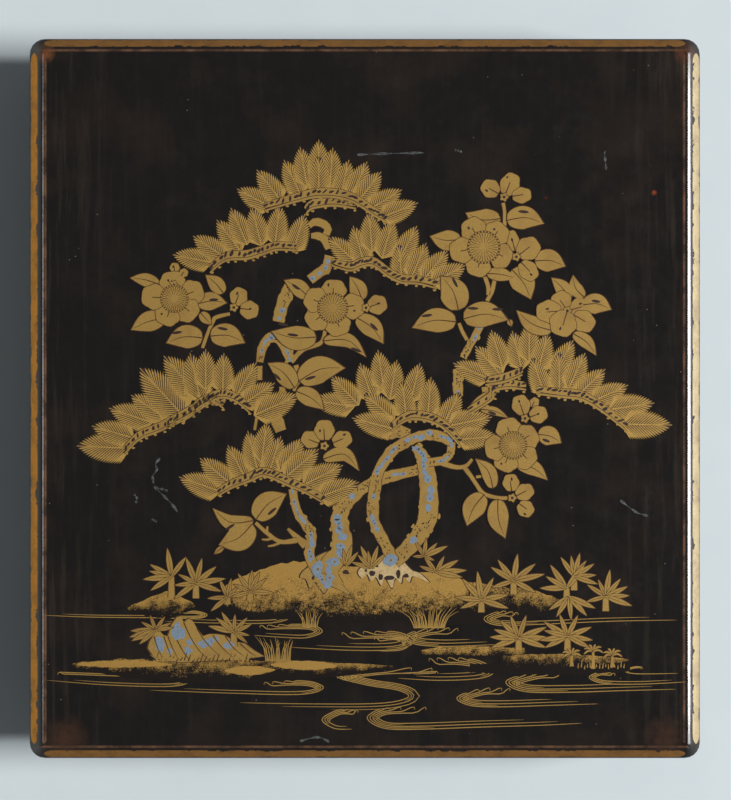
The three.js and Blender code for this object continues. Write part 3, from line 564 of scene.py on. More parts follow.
# Each: its places from the curl to its end, how many lines, and their spacing at the curl.
CURRENTS = (
    (
        (
            (-63.3, -71.3), (-56.6, -71.3), (-52.9, -72.5), (-56.6, -73.7), (-72.1, -73.5),
            (-92.2, -73.3), (-107.3, -72.7),
        ),
        3, 0.6,
    ),
    (
        (
            (-39.9, -71.3), (-34.5, -71), (-28.4, -71.3), (-25.1, -73.3), (-31.1, -75.2),
            (-48.6, -75.3), (-67, -74.7),
        ),
        4, 0.8,
    ),
    (
        (
            (-34.5, -76), (-26.4, -75.7), (-17.7, -76), (-14.3, -78.2), (-19.7, -80.2), (-28.4, -80),
            (-37.2, -79.4),
        ),
        4, 0.8,
    ),
    (
        (
            (-7, -78.4), (2.4, -78), (11.8, -78.5), (16.5, -81.4), (10.5, -84.1), (-5, -84.4),
            (-25.1, -83.4),
        ),
        5, 0.95,
    ),
    (
        (
            (-82.1, -91.5), (-72.1, -91.1), (-62.7, -92.1), (-58.6, -94.5), (-64.7, -96.5),
            (-85.5, -96.1), (-106.6, -94.5),
        ),
        4, 0.7,
    ),
    (((-102.3, -91.8), (-88.9, -92.3), (-75.4, -92.8), (-62, -93.5)), 2, 0.9),
    (
        (
            (-33.1, -95.1), (-24.4, -94.6), (-17.4, -95.1), (-14, -97.2), (-21.7, -99.2),
            (-45.2, -98.8), (-72.1, -97.8),
        ),
        4, 0.8,
    ),
    (
        (
            (21.9, -90.4), (6.8, -90.4), (-9.6, -92.8), (0.4, -96), (11.2, -97.8), (14.5, -100.2),
            (5.1, -102.2), (-18.4, -102.4), (-41.9, -102),
        ),
        5, 0.8,
    ),
    (((-2.9, -104.5), (-9, -104.5), (-14.3, -107.6), (-10.3, -110.6), (-4.3, -110.9)), 4, 0.8),
    (
        (
            (50.8, -71.7), (45.4, -71.3), (40, -73.7), (44.7, -76), (58.8, -75.7), (82.3, -74.7),
            (104.8, -74.3),
        ),
        4, 0.9,
    ),
    (
        (
            (30.6, -77), (21.9, -76.9), (13.8, -79.4), (16.5, -82.2), (25.3, -83.1), (35.3, -82.9),
            (45.4, -82.4),
        ),
        5, 0.9,
    ),
    (((3.8, -80), (10.5, -79.4), (15.5, -81.4), (12.5, -84.2), (5.1, -84.7)), 4, 0.8),
    (
        (
            (22.2, -87.1), (30.6, -86.8), (38.7, -88.1), (43.5, -91.3), (38.7, -93.8), (25.3, -94.5),
            (11.2, -93.8),
        ),
        5, 0.95,
    ),
    (((23.9, -91.5), (18.5, -91.8), (11.8, -92.1)), 2, 0.8),
    (
        (
            (66.2, -91.5), (57.5, -91.6), (47.4, -94.8), (53.4, -98.2), (68.9, -98.5), (85.7, -98),
            (104.5, -97.5),
        ),
        5, 0.95,
    ),
    (
        ((83.3, -92.1), (78.9, -91.8), (75.3, -93.5), (80, -95.5), (92.4, -95.8), (108.8, -95)), 3,
        0.75,
    ),
    (((92.4, -89.9), (90, -90.1), (87, -91.2), (91, -92.3), (105.1, -92.2)), 2, 0.6),
    (
        (
            (48.1, -97.2), (39.3, -97.2), (31, -100.2), (35.3, -102.9), (45.4, -103.4),
            (62.2, -102.9), (78.3, -102.4),
        ),
        5, 0.85,
    ),
    (
        (
            (19.9, -103.5), (11.8, -103.5), (5.1, -104.2), (0.8, -107.2), (6.5, -110.6),
            (18.5, -110.9), (38.7, -110.2), (58.8, -109.6), (72.9, -108.9),
        ),
        5, 0.85,
    ),
)
CURVE_PLACES = 26  # along each line


def water_line(bm, points, line, count, spacing):
    """One line of a bundle, offset to the inner side of its curl; every other one ends early."""
    outward = 1 if points[2][0] > points[0][0] else -1
    first = 0.065 * (count - 1 - line) * (len(points) > 4)
    last = 1 - 0.04 * line - 0.3 * (line % 2)
    places = []
    for index in range(CURVE_PLACES):
        share = first + (last - first) * index / (CURVE_PLACES - 1)
        here = curve_point(points, share)
        ahead = course(points, share).normalized()
        aside = Vector((ahead.y * 1.15, -ahead.x * 0.6)) * outward
        settled = min(1, (share - first) / 0.05)
        places.append(here + aside * spacing * line * settled)
    hook = places[0] + Vector((-outward * 0.7, -0.3))
    curl = places[0] + Vector((-outward * 0.5, -0.9))
    stroke(bm, [curl, hook, *places], water_width, 0.02 + line * 0.002, steps=34)


def water_width(part):
    """The width of a line of water, which swells from its hook and thins out at its end."""
    return (0.3 + 0.2 * part) * min(1, 6 * part + 0.4) * (1 - part) ** 0.35


bm = bmesh.new()
for points, count, spacing in CURRENTS:
    for line in range(count):
        water_line(bm, points, line, count, spacing)
relief("picture_stream", bm, [sprinkled_gold])

# The rocks
# A low heap of pointed rocks in the stream, with lichen, their foot in the shade of slanting strokes.
ROCKS = (
    (-72.7, -83.7), (-72.1, -81.4), (-70.4, -79), (-68.7, -78), (-67.4, -79.4), (-66, -79.7),
    (-64.7, -75.7), (-63, -73.3), (-61.7, -73), (-60.7, -75), (-59, -73.8), (-57.6, -74.7),
    (-56.3, -77), (-54.3, -79.7), (-52.3, -79), (-49.6, -79), (-46.9, -79.4), (-43.9, -81.4),
    (-40.2, -82.1), (-37.2, -84.4), (-33.8, -86.4), (-40.9, -87.4), (-55.6, -88.1), (-62.3, -88.4),
    (-70.4, -87.1),
)
CREVICES = (
    ((-66, -79.7), (-64.7, -83.1), (-62.7, -87.1)),
    ((-60.7, -75), (-58.6, -79.7), (-55.6, -84.4), (-52.6, -87.4)),
    ((-56.3, -77), (-53.3, -81.7), (-48.6, -86.4)),
    ((-50.9, -79.4), (-48.2, -83.1), (-44.2, -86.8)),
    ((-46.9, -79.4), (-43.9, -83.7), (-39.9, -86.8)),
    ((-70.7, -79.7), (-69.4, -83.7), (-67.4, -87.8)),
    ((-67.4, -79.7), (-66, -83.7), (-64.7, -87.4)),
    ((-63, -81), (-60.7, -85.1), (-58.6, -87.8)),
    ((-41.9, -82.1), (-38.5, -85.1), (-36.5, -86.4)),
)
SHADE_PITCH = 1.36  # between the strokes at their foot
# Each patch of lichen: its middle and its half width and half height.
LICHENS = (
    ((-62.7, -78.4), 2.5, 3.9),
    ((-68.9, -82.4), 2, 2.9),
    ((-59.3, -84.7), 1.6, 1.4),
    ((-53.6, -82.2), 3.2, 1.6),
    ((-50.6, -80.7), 2.2, 1.3),
    ((-45.6, -82.6), 2.3, 1.6),
    ((-65.4, -84.7), 1.2, 1.3),
    ((-58.6, -81.7), 1.3, 1.4),
)


def crevice_width(part):
    """The width of a drawn crevice, which is finer at its end."""
    return 0.42 - 0.26 * part


bm = bmesh.new()
centre = Vector((-55.3, -82.1))
from_centre = [Vector(place) - centre for place in ROCKS]
plate(bm, [centre + away * 1.02 + away.normalized() * EDGE for away in from_centre], 0.07, LINE)
plate(bm, ROCKS, 0.08)
for (x, y), wide, tall in LICHENS:
    places = []
    for turn in range(18):
        angle = math.tau * turn / 18
        rim = Vector((x + 1.4 * math.cos(angle), y + 1.4 * math.sin(angle), 0))
        reach = 0.85 + 0.5 * noise.noise(rim)
        places.append((x + wide * reach * math.cos(angle), y + tall * reach * math.sin(angle)))
    plate(bm, places, 0.088, SILVER)
for crevice in CREVICES:
    beside = [(x - 0.42, y - 0.1) for x, y in crevice]
    stroke(bm, beside, crevice_width, 0.092, GOLD, steps=6)
    stroke(bm, crevice, crevice_width, 0.094, LINE, steps=6)
for blade in range(26):
    x = -71.4 + blade * SHADE_PITCH
    foot = -88.1 + 0.3 * math.sin(blade)
    rise = 1.8 + math.sin(blade * 1.7)
    stroke(bm, ((x, foot), (x + 0.9, foot + rise)), crevice_width, 0.098, BARE, steps=2)
relief("picture_rocks", bm, picture_coats)

# The pine trunks
# Two old trunks that twist into a loop, with knobbly bark, lichen in tarnished silver and small pits.

# Each: its places, its widths at equal steps, and its level. The trunks, their loops and boughs, then
# the stretches that show between the fans, and last the thin twigs.
LIMBS = (
    (
        (
            (-13.7, -61.9), (-15.5, -58.5), (-18.5, -52.7), (-17.8, -45.7), (-20.1, -41.9),
            (-22.8, -37.3), (-24.3, -30.3),
        ),
        (4.4, 3.4, 3.2, 3.4, 3, 2.7, 2.4), 0.08,
    ),
    (((-25.8, -43.6), (-22.8, -46.5), (-19.7, -49.2)), (0.8, 1.8, 3), 0.075),
    (
        (
            (-11.3, -62.9), (-12.4, -57.3), (-7.7, -50.4), (-8.1, -43.8), (-8.5, -40), (-6.6, -35.7),
            (-2, -31.1), (2.4, -28.4),
        ),
        (7.6, 6.6, 6.2, 5.8, 5.2, 4.5, 3.8, 3.2), 0.07,
    ),
    (((1.1, -29), (5.7, -26.9), (11.8, -25.3), (18.5, -23.8)), (3, 3.6, 3.5, 3.2), 0.065),
    (
        (
            (16.5, -16.3), (18.4, -18), (20.4, -22.6), (21.4, -30.3), (21.2, -39.2), (19.2, -44.2),
            (15.4, -49.2), (9.6, -54.9),
        ),
        (2.4, 3.7, 4.9, 6, 5.8, 5.6, 5.2, 4.6), 0.08,
    ),
    (
        (
            (29.3, -14.3), (23.1, -12.2), (17.3, -13), (11.9, -15.7), (8.4, -18.4), (4.6, -24.6),
            (3.4, -30.3), (2.7, -36.5), (3.4, -41.9), (6.9, -48.8), (9.5, -54.2),
        ),
        (3.3, 3.4, 3.4, 3.4, 3.5, 3.6, 3.6, 3.7, 3.5, 3.5, 3.6), 0.1,
    ),
    (((29.2, -14.5), (28.5, -18.8), (26.2, -20.7), (21.2, -21.4)), (2.5, 2.4, 2.5, 2.8), 0.09),
    (((25.6, -21.5), (30.4, -23), (33.9, -22.6), (36, -20.3)), (1.7, 1.4, 1.2, 0.8), 0.085),
    (((6.8, -12.9), (11.2, -11.2), (15.2, -11.9)), (2.4, 3.8, 3), 0.07),
    (
        ((-18.7, 57.9), (-16.7, 59.2), (-14, 58.6), (-12.3, 56.9), (-13, 54.9)),
        (1.8, 2.4, 2.5, 2.4, 2.2), 0.1,
    ),
    (((-18, 54.5), (-15.7, 54.5), (-13.3, 53.2), (-12, 50.2)), (1.6, 2.6, 2.6, 2.4), 0.09),
    (((-11.7, 47.8), (-12.7, 44.1), (-15.4, 42.1), (-18.4, 39.8)), (3.4, 3.4, 3.3, 3.2), 0.08),
    (((-25.1, 37.8), (-26.8, 33.7), (-28.1, 29.7), (-28.9, 25.7)), (3.6, 4.2, 4, 3.6), 0.08),
    (
        (
            (-35.2, 12.2), (-34.5, 16.3), (-32.8, 19.6), (-30.5, 20.6), (-28.1, 19.3), (-26.1, 15.7),
            (-24.6, 12.6),
        ),
        (2.4, 2.6, 3.2, 3.4, 3.2, 3, 3), 0.085,
    ),
    (((-35.2, 10.9), (-35.2, 6.2)), (1.7, 1.6), 0.08),
    (((-27.6, 3.9), (-27.6, 1.3)), (2, 2), 0.08),
    (((-29.8, -6.2), (-28.1, -10.9)), (4, 3.8), 0.08),
    (((-36, -5.2), (-36.9, -10.6)), (0.9, 0.8), 0.08),
    (((38.8, 24.7), (36.7, 20.3), (34.7, 16.9), (33, 13.6)), (2.4, 2.3, 2.4, 2.2), 0.08),
    (((31.2, 9.9), (31.2, 5.5), (31.3, 0.8)), (3, 3.1, 3), 0.08),
    (((52.4, 4.3), (47.1, 3.9), (43.2, 3.5), (39.3, 2.9)), (1.4, 1.7, 1.7, 1.6), 0.08),
    (((43.4, 2.2), (40.7, 0.8), (38.1, -0.8), (35.3, -4.2)), (2, 2.3, 2.4, 2.4), 0.085),
    (((-23.1, 11.2), (-22.1, 8.2)), (1.6, 1.6), 0.08),
    (
        ((-54.4, 16.9), (-52.6, 22), (-50.9, 25.7), (-49.9, 27.2), (-45.2, 28.4)),
        (1, 1, 1.1, 1.2, 1), 0.09,
    ),
    (((-13.3, 22.7), (-14.8, 18.6), (-20.7, 16.4), (-24.6, 12.2)), (1.1, 1.2, 1.4, 1.4), 0.09),
    (((-22.1, 5.5), (-23.1, 4.2), (-23.7, 2.5)), (1, 1, 1), 0.09),
    (((46.4, 65.6), (46.9, 62.3), (46.9, 57.9)), (1.1, 1, 1.1), 0.09),
    (((40.3, 40.8), (41.4, 37.4), (41.5, 34.7)), (1.2, 1.3, 1.4), 0.09),
    (((43.6, 40.2), (42.7, 36.1), (41, 32.7)), (1.2, 1.3, 1.2), 0.09),
    (((31.6, 25.3), (32.6, 22.7), (34.3, 19.6)), (1, 1.1, 1.1), 0.09),
    (
        ((33.3, -23), (35.6, -26), (37.3, -28.6), (39.9, -31.9), (44.9, -33.3), (49.2, -33.3)),
        (1.4, 1.3, 1.2, 1.2, 1.1, 1), 0.09,
    ),
    (((37.3, -26.3), (39.3, -26), (41, -25)), (0.8, 0.8, 0.6), 0.085),
    (((-36.6, -41.6), (-32.5, -45.3), (-28.2, -48), (-22.7, -47.5)), (1.1, 1.2, 1.3, 1.6), 0.09),
    (((-30.5, -46.5), (-32.5, -47.3), (-34.5, -47.2)), (0.8, 0.7, 0.4), 0.085),
    (((-28.1, -48.2), (-30.5, -49.2), (-32.5, -49.5)), (0.8, 0.7, 0.4), 0.085),
    (((-32.8, -44.8), (-32.6, -42.8)), (0.8, 0.5), 0.085),
)
# Roots spread from the foot of each trunk, first the left one, and the soil has washed out between
# them.
ROOTS = (
    (
        (-17, -53.5), (-18.7, -56.2), (-20.7, -57.9), (-21.7, -59.9), (-19.7, -60.6), (-18.4, -63.6),
        (-17, -61.6), (-15.7, -62.3), (-13.7, -65.3), (-12, -62.9), (-9.6, -63.6), (-5, -65.6),
        (-7, -62.9), (-9.3, -59.9), (-8.3, -56.2), (-5, -52.9), (-9, -51.5), (-13, -51.5),
    ),
    (
        (7.1, -52.5), (4.4, -54.2), (1.1, -54.2), (-0.6, -55.9), (-2.3, -58.2), (-0.9, -60.2),
        (0.8, -58.9), (2.1, -61.2), (3.8, -59.9), (5.5, -62.6), (6.8, -59.9), (9.1, -63.6),
        (10.2, -60.2), (12.2, -61.9), (12.8, -59.2), (14.9, -61.6), (15.9, -59.6), (18.5, -60.2),
        (21.6, -61.6), (18.5, -58.6), (15.9, -57.6), (13.5, -55.2), (11.8, -52.9), (9.5, -51.5),
    ),
)
HOLLOWS = (
    ((2.4, -58.6), 1.3, 1.1),
    ((5.3, -59.9), 0.8, 1.3),
    ((8.3, -60.1), 2, 0.9),
    ((11.2, -58.9), 0.9, 1.7),
    ((13.8, -59.4), 1.1, 0.8),
    ((0.4, -57.6), 0.5, 0.5),
    ((4.1, -56.2), 0.6, 0.4),
    ((-6.3, -58.2), 1.2, 0.9),
    ((-17.4, -60.2), 0.5, 0.8),
)
KNOB_PITCH = 1.1  # along the edge of a limb
MARK_PITCH = 2.2  # between its lichens
LEAST_MARKED = 2.1  # width of the thinnest limb that carries them


def spot(bm, centre, ahead, reach, level, coat):
    """An uneven oval patch; reach is how far it goes along a direction and across it."""
    across = Vector((-ahead.y, ahead.x))
    places = []
    for turn in range(12):
        angle = math.tau * turn / 12
        rim = Vector((centre.x + math.cos(angle), centre.y + math.sin(angle), 0))
        uneven = 0.9 + 0.35 * noise.noise(rim)
        along_it = ahead * reach[0] * uneven * math.cos(angle)
        places.append(centre + along_it + across * reach[1] * uneven * math.sin(angle))
    plate(bm, places, level, coat)


def limb(bm, points, widths, level):
    """A stretch of bark with an uneven edge; its broad parts carry lichen and pits."""
    length = sum((Vector(b) - Vector(a)).length for a, b in zip(points, points[1:]))
    steps = max(4, round(length / KNOB_PITCH))
    stems = [(width, 0) for width in widths]
    knob = [random.uniform(-0.09, 0.11) for _ in range(steps + 1)]

    def breadth(part):
        broad = curve_point(stems, part).x
        return broad * (1 + knob[round(part * steps)] * min(1, broad / 2))

    stroke(bm, points, lambda part: breadth(part) + 2 * EDGE, level - 0.006, LINE, steps=steps)
    stroke(bm, points, breadth, level, GOLD, steps=steps)
    if min(widths) < LEAST_MARKED or length < 5:
        return
    marks = int(length / MARK_PITCH)
    for mark in range(marks):
        share = (mark + random.uniform(0.3, 0.7)) / marks
        bark_mark(bm, points, share, mark, breadth(share), level)


def bark_mark(bm, points, share, mark, broad, level):
    """Lichen or pits at a share of a limb, and beside two marks of three a knot at the edge."""
    ahead = course(points, share).normalized()
    across = Vector((-ahead.y, ahead.x))
    here = curve_point(points, share) + across * random.uniform(-0.15, 0.15) * broad
    if mark % 3:
        side = 1 if mark % 2 else -1
        knot = here + across * side * broad * 0.46 + ahead * random.uniform(-0.6, 0.6)
        spot(bm, knot, ahead, (random.uniform(0.7, 1.2), 0.5), level - 0.002, GOLD)
    if noise.noise(Vector((here.x / 5, here.y / 5, 7))) < -0.08:
        for _ in range(5):
            aside = across * random.uniform(-0.3, 0.3) * broad
            pit = here + aside + ahead * random.uniform(-1, 1)
            spot(bm, pit, ahead, (0.3, 0.2), level + 0.012, BARE)
    else:
        size = (random.uniform(0.9, 1.8), broad * random.uniform(0.16, 0.3))
        spot(bm, here, ahead, size, level + 0.01, SILVER)
        if mark % 2:
            spot(bm, here + ahead * 0.3, ahead, (0.26, 0.26), level + 0.014, LINE)


random.seed(8)
bm = bmesh.new()
for places, coat in zip(ROOTS, (GOLD, PALE)):
    centre = sum((Vector(place) for place in places), Vector((0, 0))) / len(places)
    closed = [*places, places[0]]
    rounded = [curve_point(closed, k / (4 * len(closed))) for k in range(4 * len(closed))]
    spread = [place + (place - centre).normalized() * 2 * EDGE for place in rounded]
    plate(bm, spread, 0.05, BARE)
    plate(bm, rounded, 0.056, coat)
for middle, wide, tall in HOLLOWS:
    spot(bm, Vector(middle), Vector((1, 0)), (wide, tall), 0.062, BARE)
for points, widths, level in LIMBS:
    limb(bm, points, widths, level)
# Rings of lichen at the feet of the trunks: the middle, the half width and the half height of each.
LICHEN_RINGS = (
    ((8.8, -54.2), 2.7, 2.2),
    ((-10.1, -54.7), 1.8, 1.7),
    ((-11.7, -60.1), 1.6, 1.6),
    ((-15.7, -57.2), 1.9, 3),
    ((-18, -52.9), 1.2, 1.2),
)
for middle, wide, tall in LICHEN_RINGS:
    spot(bm, Vector(middle), Vector((1, 0)), (wide, tall), 0.12, SILVER)
    spot(bm, Vector(middle), Vector((1, 0)), (0.5, 0.5), 0.126, GOLD)
    spot(bm, Vector(middle), Vector((1, 0)), (0.26, 0.26), 0.132, BARE)
relief("picture_trunks", bm, picture_coats)

# The pine sprays
# Seven clumps of needle fans on knotted branches. Each fan closes towards its tip, and the later ones
# lie in front.
PINE_CLUMPS = (
    (
        (
            (-42.9, 70.3, -33.5, 65.3), (-36.2, 76.7, -29.4, 68), (-27.1, 80, -22.1, 69.6),
            (-21.7, 84.4, -20.1, 75.7), (-15.4, 86.8, -15.4, 79), (-10.7, 84.1, -11.3, 76.3),
            (-15.4, 81.4, -15.4, 70.6), (-5.3, 80, -7.6, 70), (0.8, 79.4, -2.6, 72),
            (5.5, 76, -1.3, 67.3), (12.5, 70, 3.1, 64.3), (17.9, 65.6, 8.5, 61.9),
        ),
        (
            ((-33.5, 63.9), (-24.4, 66.6), (-15, 68.6), (-5, 67.3), (3.1, 62.3), (7.1, 60.2)),
            ((-19.7, 62.6), (-17.7, 64.6), (-11.7, 65.6), (-7, 65.3), (-2.9, 64.6)),
        ),
    ),
    (
        (
            (-64.4, 48.2, -53.6, 46.1), (-57.6, 54.5, -50.6, 49.8), (-49.6, 59.9, -43.2, 51.5),
            (-44.9, 63.9, -41.9, 57.2), (-37.8, 64.3, -35.2, 53.5), (-28.4, 64.9, -29.8, 53.9),
            (-20.1, 61.9, -23.1, 52.2),
        ),
        (((-51.9, 43.1), (-46.6, 47.2), (-39.5, 47.8), (-34.5, 49.2), (-29.4, 50.8), (-22.4, 50.5)),),
    ),
    (
        (
            (-12.3, 54.2, -6, 48.5), (-3.9, 57.9, -0.9, 47.8), (1.4, 62.6, 2.1, 53.9),
            (9.5, 59.9, 6.8, 50.5), (17.5, 57.9, 14.2, 51.5), (11.5, 51.9, 12.2, 42.5),
            (20.6, 52.2, 16.9, 43.5), (27.9, 49.8, 21.6, 42.1), (34, 44.8, 26.9, 41.1),
        ),
        (
            (
                (-11, 45.5), (-5, 43.8), (-1.3, 45.1), (2.8, 45.5), (7.5, 42.1), (12.2, 39.8),
                (18.2, 39.4), (24.2, 37.8),
            ),
        ),
    ),
    (
        (
            (-96.6, -15.9, -80.5, -16.6), (-91.5, -9.2, -78.8, -12.9), (-85.8, -3.2, -72.7, -7.6),
            (-78.4, 1.2, -67.7, -5.9), (-75.4, 10.2, -61.7, -4.9), (-67.4, 14.3, -56.3, 1.5),
            (-58.6, 15.3, -55.3, 0.5), (-53.3, 16.6, -53.3, 9.6), (-47.2, 15.3, -47.6, 3.2),
            (-36.2, 12.2, -42.2, 2.2), (-30.1, 5.2, -39.2, -0.8), (-22.1, 1.2, -35.5, -4.9),
        ),
        (
            (
                (-80.5, -17.6), (-75.4, -12.6), (-68.7, -9.9), (-60.3, -5.5), (-53.6, -1.5),
                (-48.6, 1.2), (-43.5, 0.2), (-38.5, -3.9),
            ),
            ((-66.7, -8.9), (-59.3, -5.5), (-54.6, -1.5), (-50.6, -0.2), (-47.2, -2.5)),
        ),
    ),
    (
        (
            (-17.7, -0.5, -5, -2.5), (-11.3, 7.6, -3.6, -0.5), (-1.6, 11.9, 2.1, 1.2),
            (4.4, 16.3, 5.8, 7.2), (10.8, 12.9, 8.8, 1.8), (18.5, 11.9, 16.2, 2.5),
            (22.2, 7.2, 21.2, -4.9), (12.5, 6.2, 13.8, -5.2), (-0.3, 1.8, 8.8, -6.2),
            (-4.3, -6.5, 8.8, -9.9), (32, 2.2, 27.3, -6.9), (42.7, -6.2, 29.3, -8.9),
            (44.4, -12.6, 33, -13.6),
        ),
        (((8.8, -9.9), (14.5, -6.2), (20.9, -6.5), (26.6, -9.2), (32.3, -15.3)),),
    ),
    (
        (
            (29.6, 11.9, 40.4, 7.2), (37, 17.6, 44.7, 8.9), (42.4, 23, 44.7, 15.3),
            (49.4, 22.7, 52.1, 11.9), (55.1, 25.7, 55.1, 17.3), (61.5, 22, 59.1, 13.3),
            (69.9, 19.6, 67.5, 15.3), (56.1, 13.9, 59.5, 3.5), (65.2, 15.6, 65.2, 4.9),
            (73.9, 15.3, 70.6, 8.2), (80.6, 9.9, 72.9, 2.5), (88.3, 4.5, 77.3, -0.5),
            (97.1, -1.5, 83.3, -3.5), (103.1, -8.9, 88, -8.6),
        ),
        (
            ((40.4, 5.5), (46.7, 6.5), (52.8, 8.9)),
            ((57.5, 2.5), (65.9, 1.5), (72.9, 0.5), (80.3, -3.9), (87.7, -9.9)),
            ((34.7, -4.5), (42.4, 0.5), (43.4, 3.5), (48.4, 4.5), (54.1, 3.9)),
        ),
    ),
    (
        (
            (-62.3, -26.3, -49.6, -30.7), (-55.3, -20, -45.9, -27.7), (-45.9, -15.6, -40.2, -26.3),
            (-39.2, -10.9, -36.2, -23), (-32.8, -7.9, -33.8, -15.3), (-28.1, -12.6, -31.5, -23),
            (-20.7, -13.3, -24.8, -19.3), (-15.4, -16.9, -25.8, -25.7), (-7.3, -22.3, -19.4, -28.4),
            (-1.9, -28, -14.3, -32.7),
        ),
        (
            (
                (-49.2, -31.7), (-44.6, -29), (-38.5, -26.7), (-34.5, -25), (-30.5, -26),
                (-26.1, -28), (-19.7, -30.7), (-13.7, -34.1),
            ),
        ),
    ),
)
NEEDLE_PITCH = 1.2  # along a fan's spine
NEEDLE_FOOT = 0.26
NEEDLE_WIDTH = 0.5
LEAST_FAN = 13.5


def fan(bm, tip, root, level):
    """A spray of needles that sweep forward from a spine, over bare lacquer."""
    tip = Vector(tip)
    ahead = (tip - Vector(root)).normalized()
    length = max(1.12 * (tip - Vector(root)).length, LEAST_FAN)
    root = tip - ahead * length
    left = Vector((-ahead.y, ahead.x))

    def rim(share, side, fullness=1):
        across = 0.3 * length * fullness * (1 - max(share, 0) ** 2.3) ** 0.85
        return root + ahead * length * (0.32 + 0.68 * share) + left * side * across

    shares = [-0.2 + 1.2 * k / 12 for k in range(13)]
    right_rim = [rim(share, -1, 0.78) for share in shares]
    left_rim = [rim(share, 1, 0.78) for share in shares]
    plate(bm, [root, *right_rim, *left_rim[-2::-1]], level - 0.006, BARE)
    count = round(length / NEEDLE_PITCH) + 3
    for side in (1, -1):
        for number in range(count):
            share = -0.2 + 1.19 * (number + 0.3 * (side > 0)) / count
            foot = root + ahead * length * 0.76 * max(share, 0)
            needle(bm, foot, rim(share, side), level + 0.001 * (number % 2))
    stroke(bm, (root, tip), spine_width, level + 0.004, BRIGHT, steps=2)


def needle(bm, foot, end, level):
    """A needle, which is broadest a little short of its point."""
    line = end - foot
    across = Vector((-line.y, line.x)).normalized()
    narrow, broad = across * NEEDLE_FOOT / 2, across * NEEDLE_WIDTH / 2
    blunt = foot + line * 0.78
    plate(bm, (foot + narrow, foot - narrow, blunt - broad, end, blunt + broad), level, BRIGHT)


def spine_width(part):
    """The width of a fan's spine, which thins towards the tip."""
    return 0.5 - 0.3 * part


def branch_width(part):
    """The width of a knotted branch, as a share of its widest."""
    return math.sin(math.pi * (0.08 + 0.84 * part)) ** 0.35


def knotted_branch(bm, points, level):
    """Twigs that loop round slanting gaps, with a smooth stem and small knots below them."""
    length = sum((Vector(b) - Vector(a)).length for a, b in zip(points, points[1:]))
    raised = [(x, y + 0.7) for x, y in points]
    lowered = [(x, y - 0.95) for x, y in points]
    stroke(bm, raised, lambda part: 2.8 * branch_width(part), level, LINE, steps=24)
    stroke(bm, raised, lambda part: 2.4 * branch_width(part), level + 0.005, GOLD, steps=24)
    count = int(length / 1.75)
    for gap in range(count):
        here = curve_point(raised, (gap + 0.5) / count)
        ahead = (curve_point(raised, min((gap + 1) / count, 1)) - here).normalized()
        ahead = Matrix.Rotation(random.uniform(0.1, 1.3), 2) @ ahead
        here += Vector((random.uniform(-0.3, 0.3), random.uniform(-0.3, 0.4)))
        size = (random.uniform(0.7, 1.35), random.uniform(0.36, 0.6))
        spot(bm, here, ahead, size, level + 0.01, BARE)
    stroke(bm, lowered, lambda part: 1.2 * branch_width(part), level + 0.011, BARE, steps=24)
    stroke(bm, lowered, lambda part: 0.75 * branch_width(part), level + 0.014, GOLD, steps=24)
    knots = int(length / 2.6)
    for knot in range(knots):
        here = curve_point(lowered, (knot + 0.5) / knots)
        here += Vector((0.3 * (knot % 3), -0.6 - 0.25 * (knot % 2)))
        spot(bm, here, Vector((1, 0)), (0.6, 0.42), level + 0.012, GOLD)


for number, (fans, branches) in enumerate(PINE_CLUMPS, 1):
    bm = bmesh.new()
    for order, (tip_x, tip_y, root_x, root_y) in enumerate(fans):
        fan(bm, (tip_x, tip_y), (root_x, root_y), 0.14 + 0.01 * order)
    top = 0.15 + 0.01 * len(fans)
    for branch in branches:
        knotted_branch(bm, branch, top)
    relief(f"picture_pine_{number}", bm, picture_coats)

# The camellias and their leaves
# Broad flowers with a disc of stamens, buds and pointed leaves. The brown slits are inlays that have
# come away.

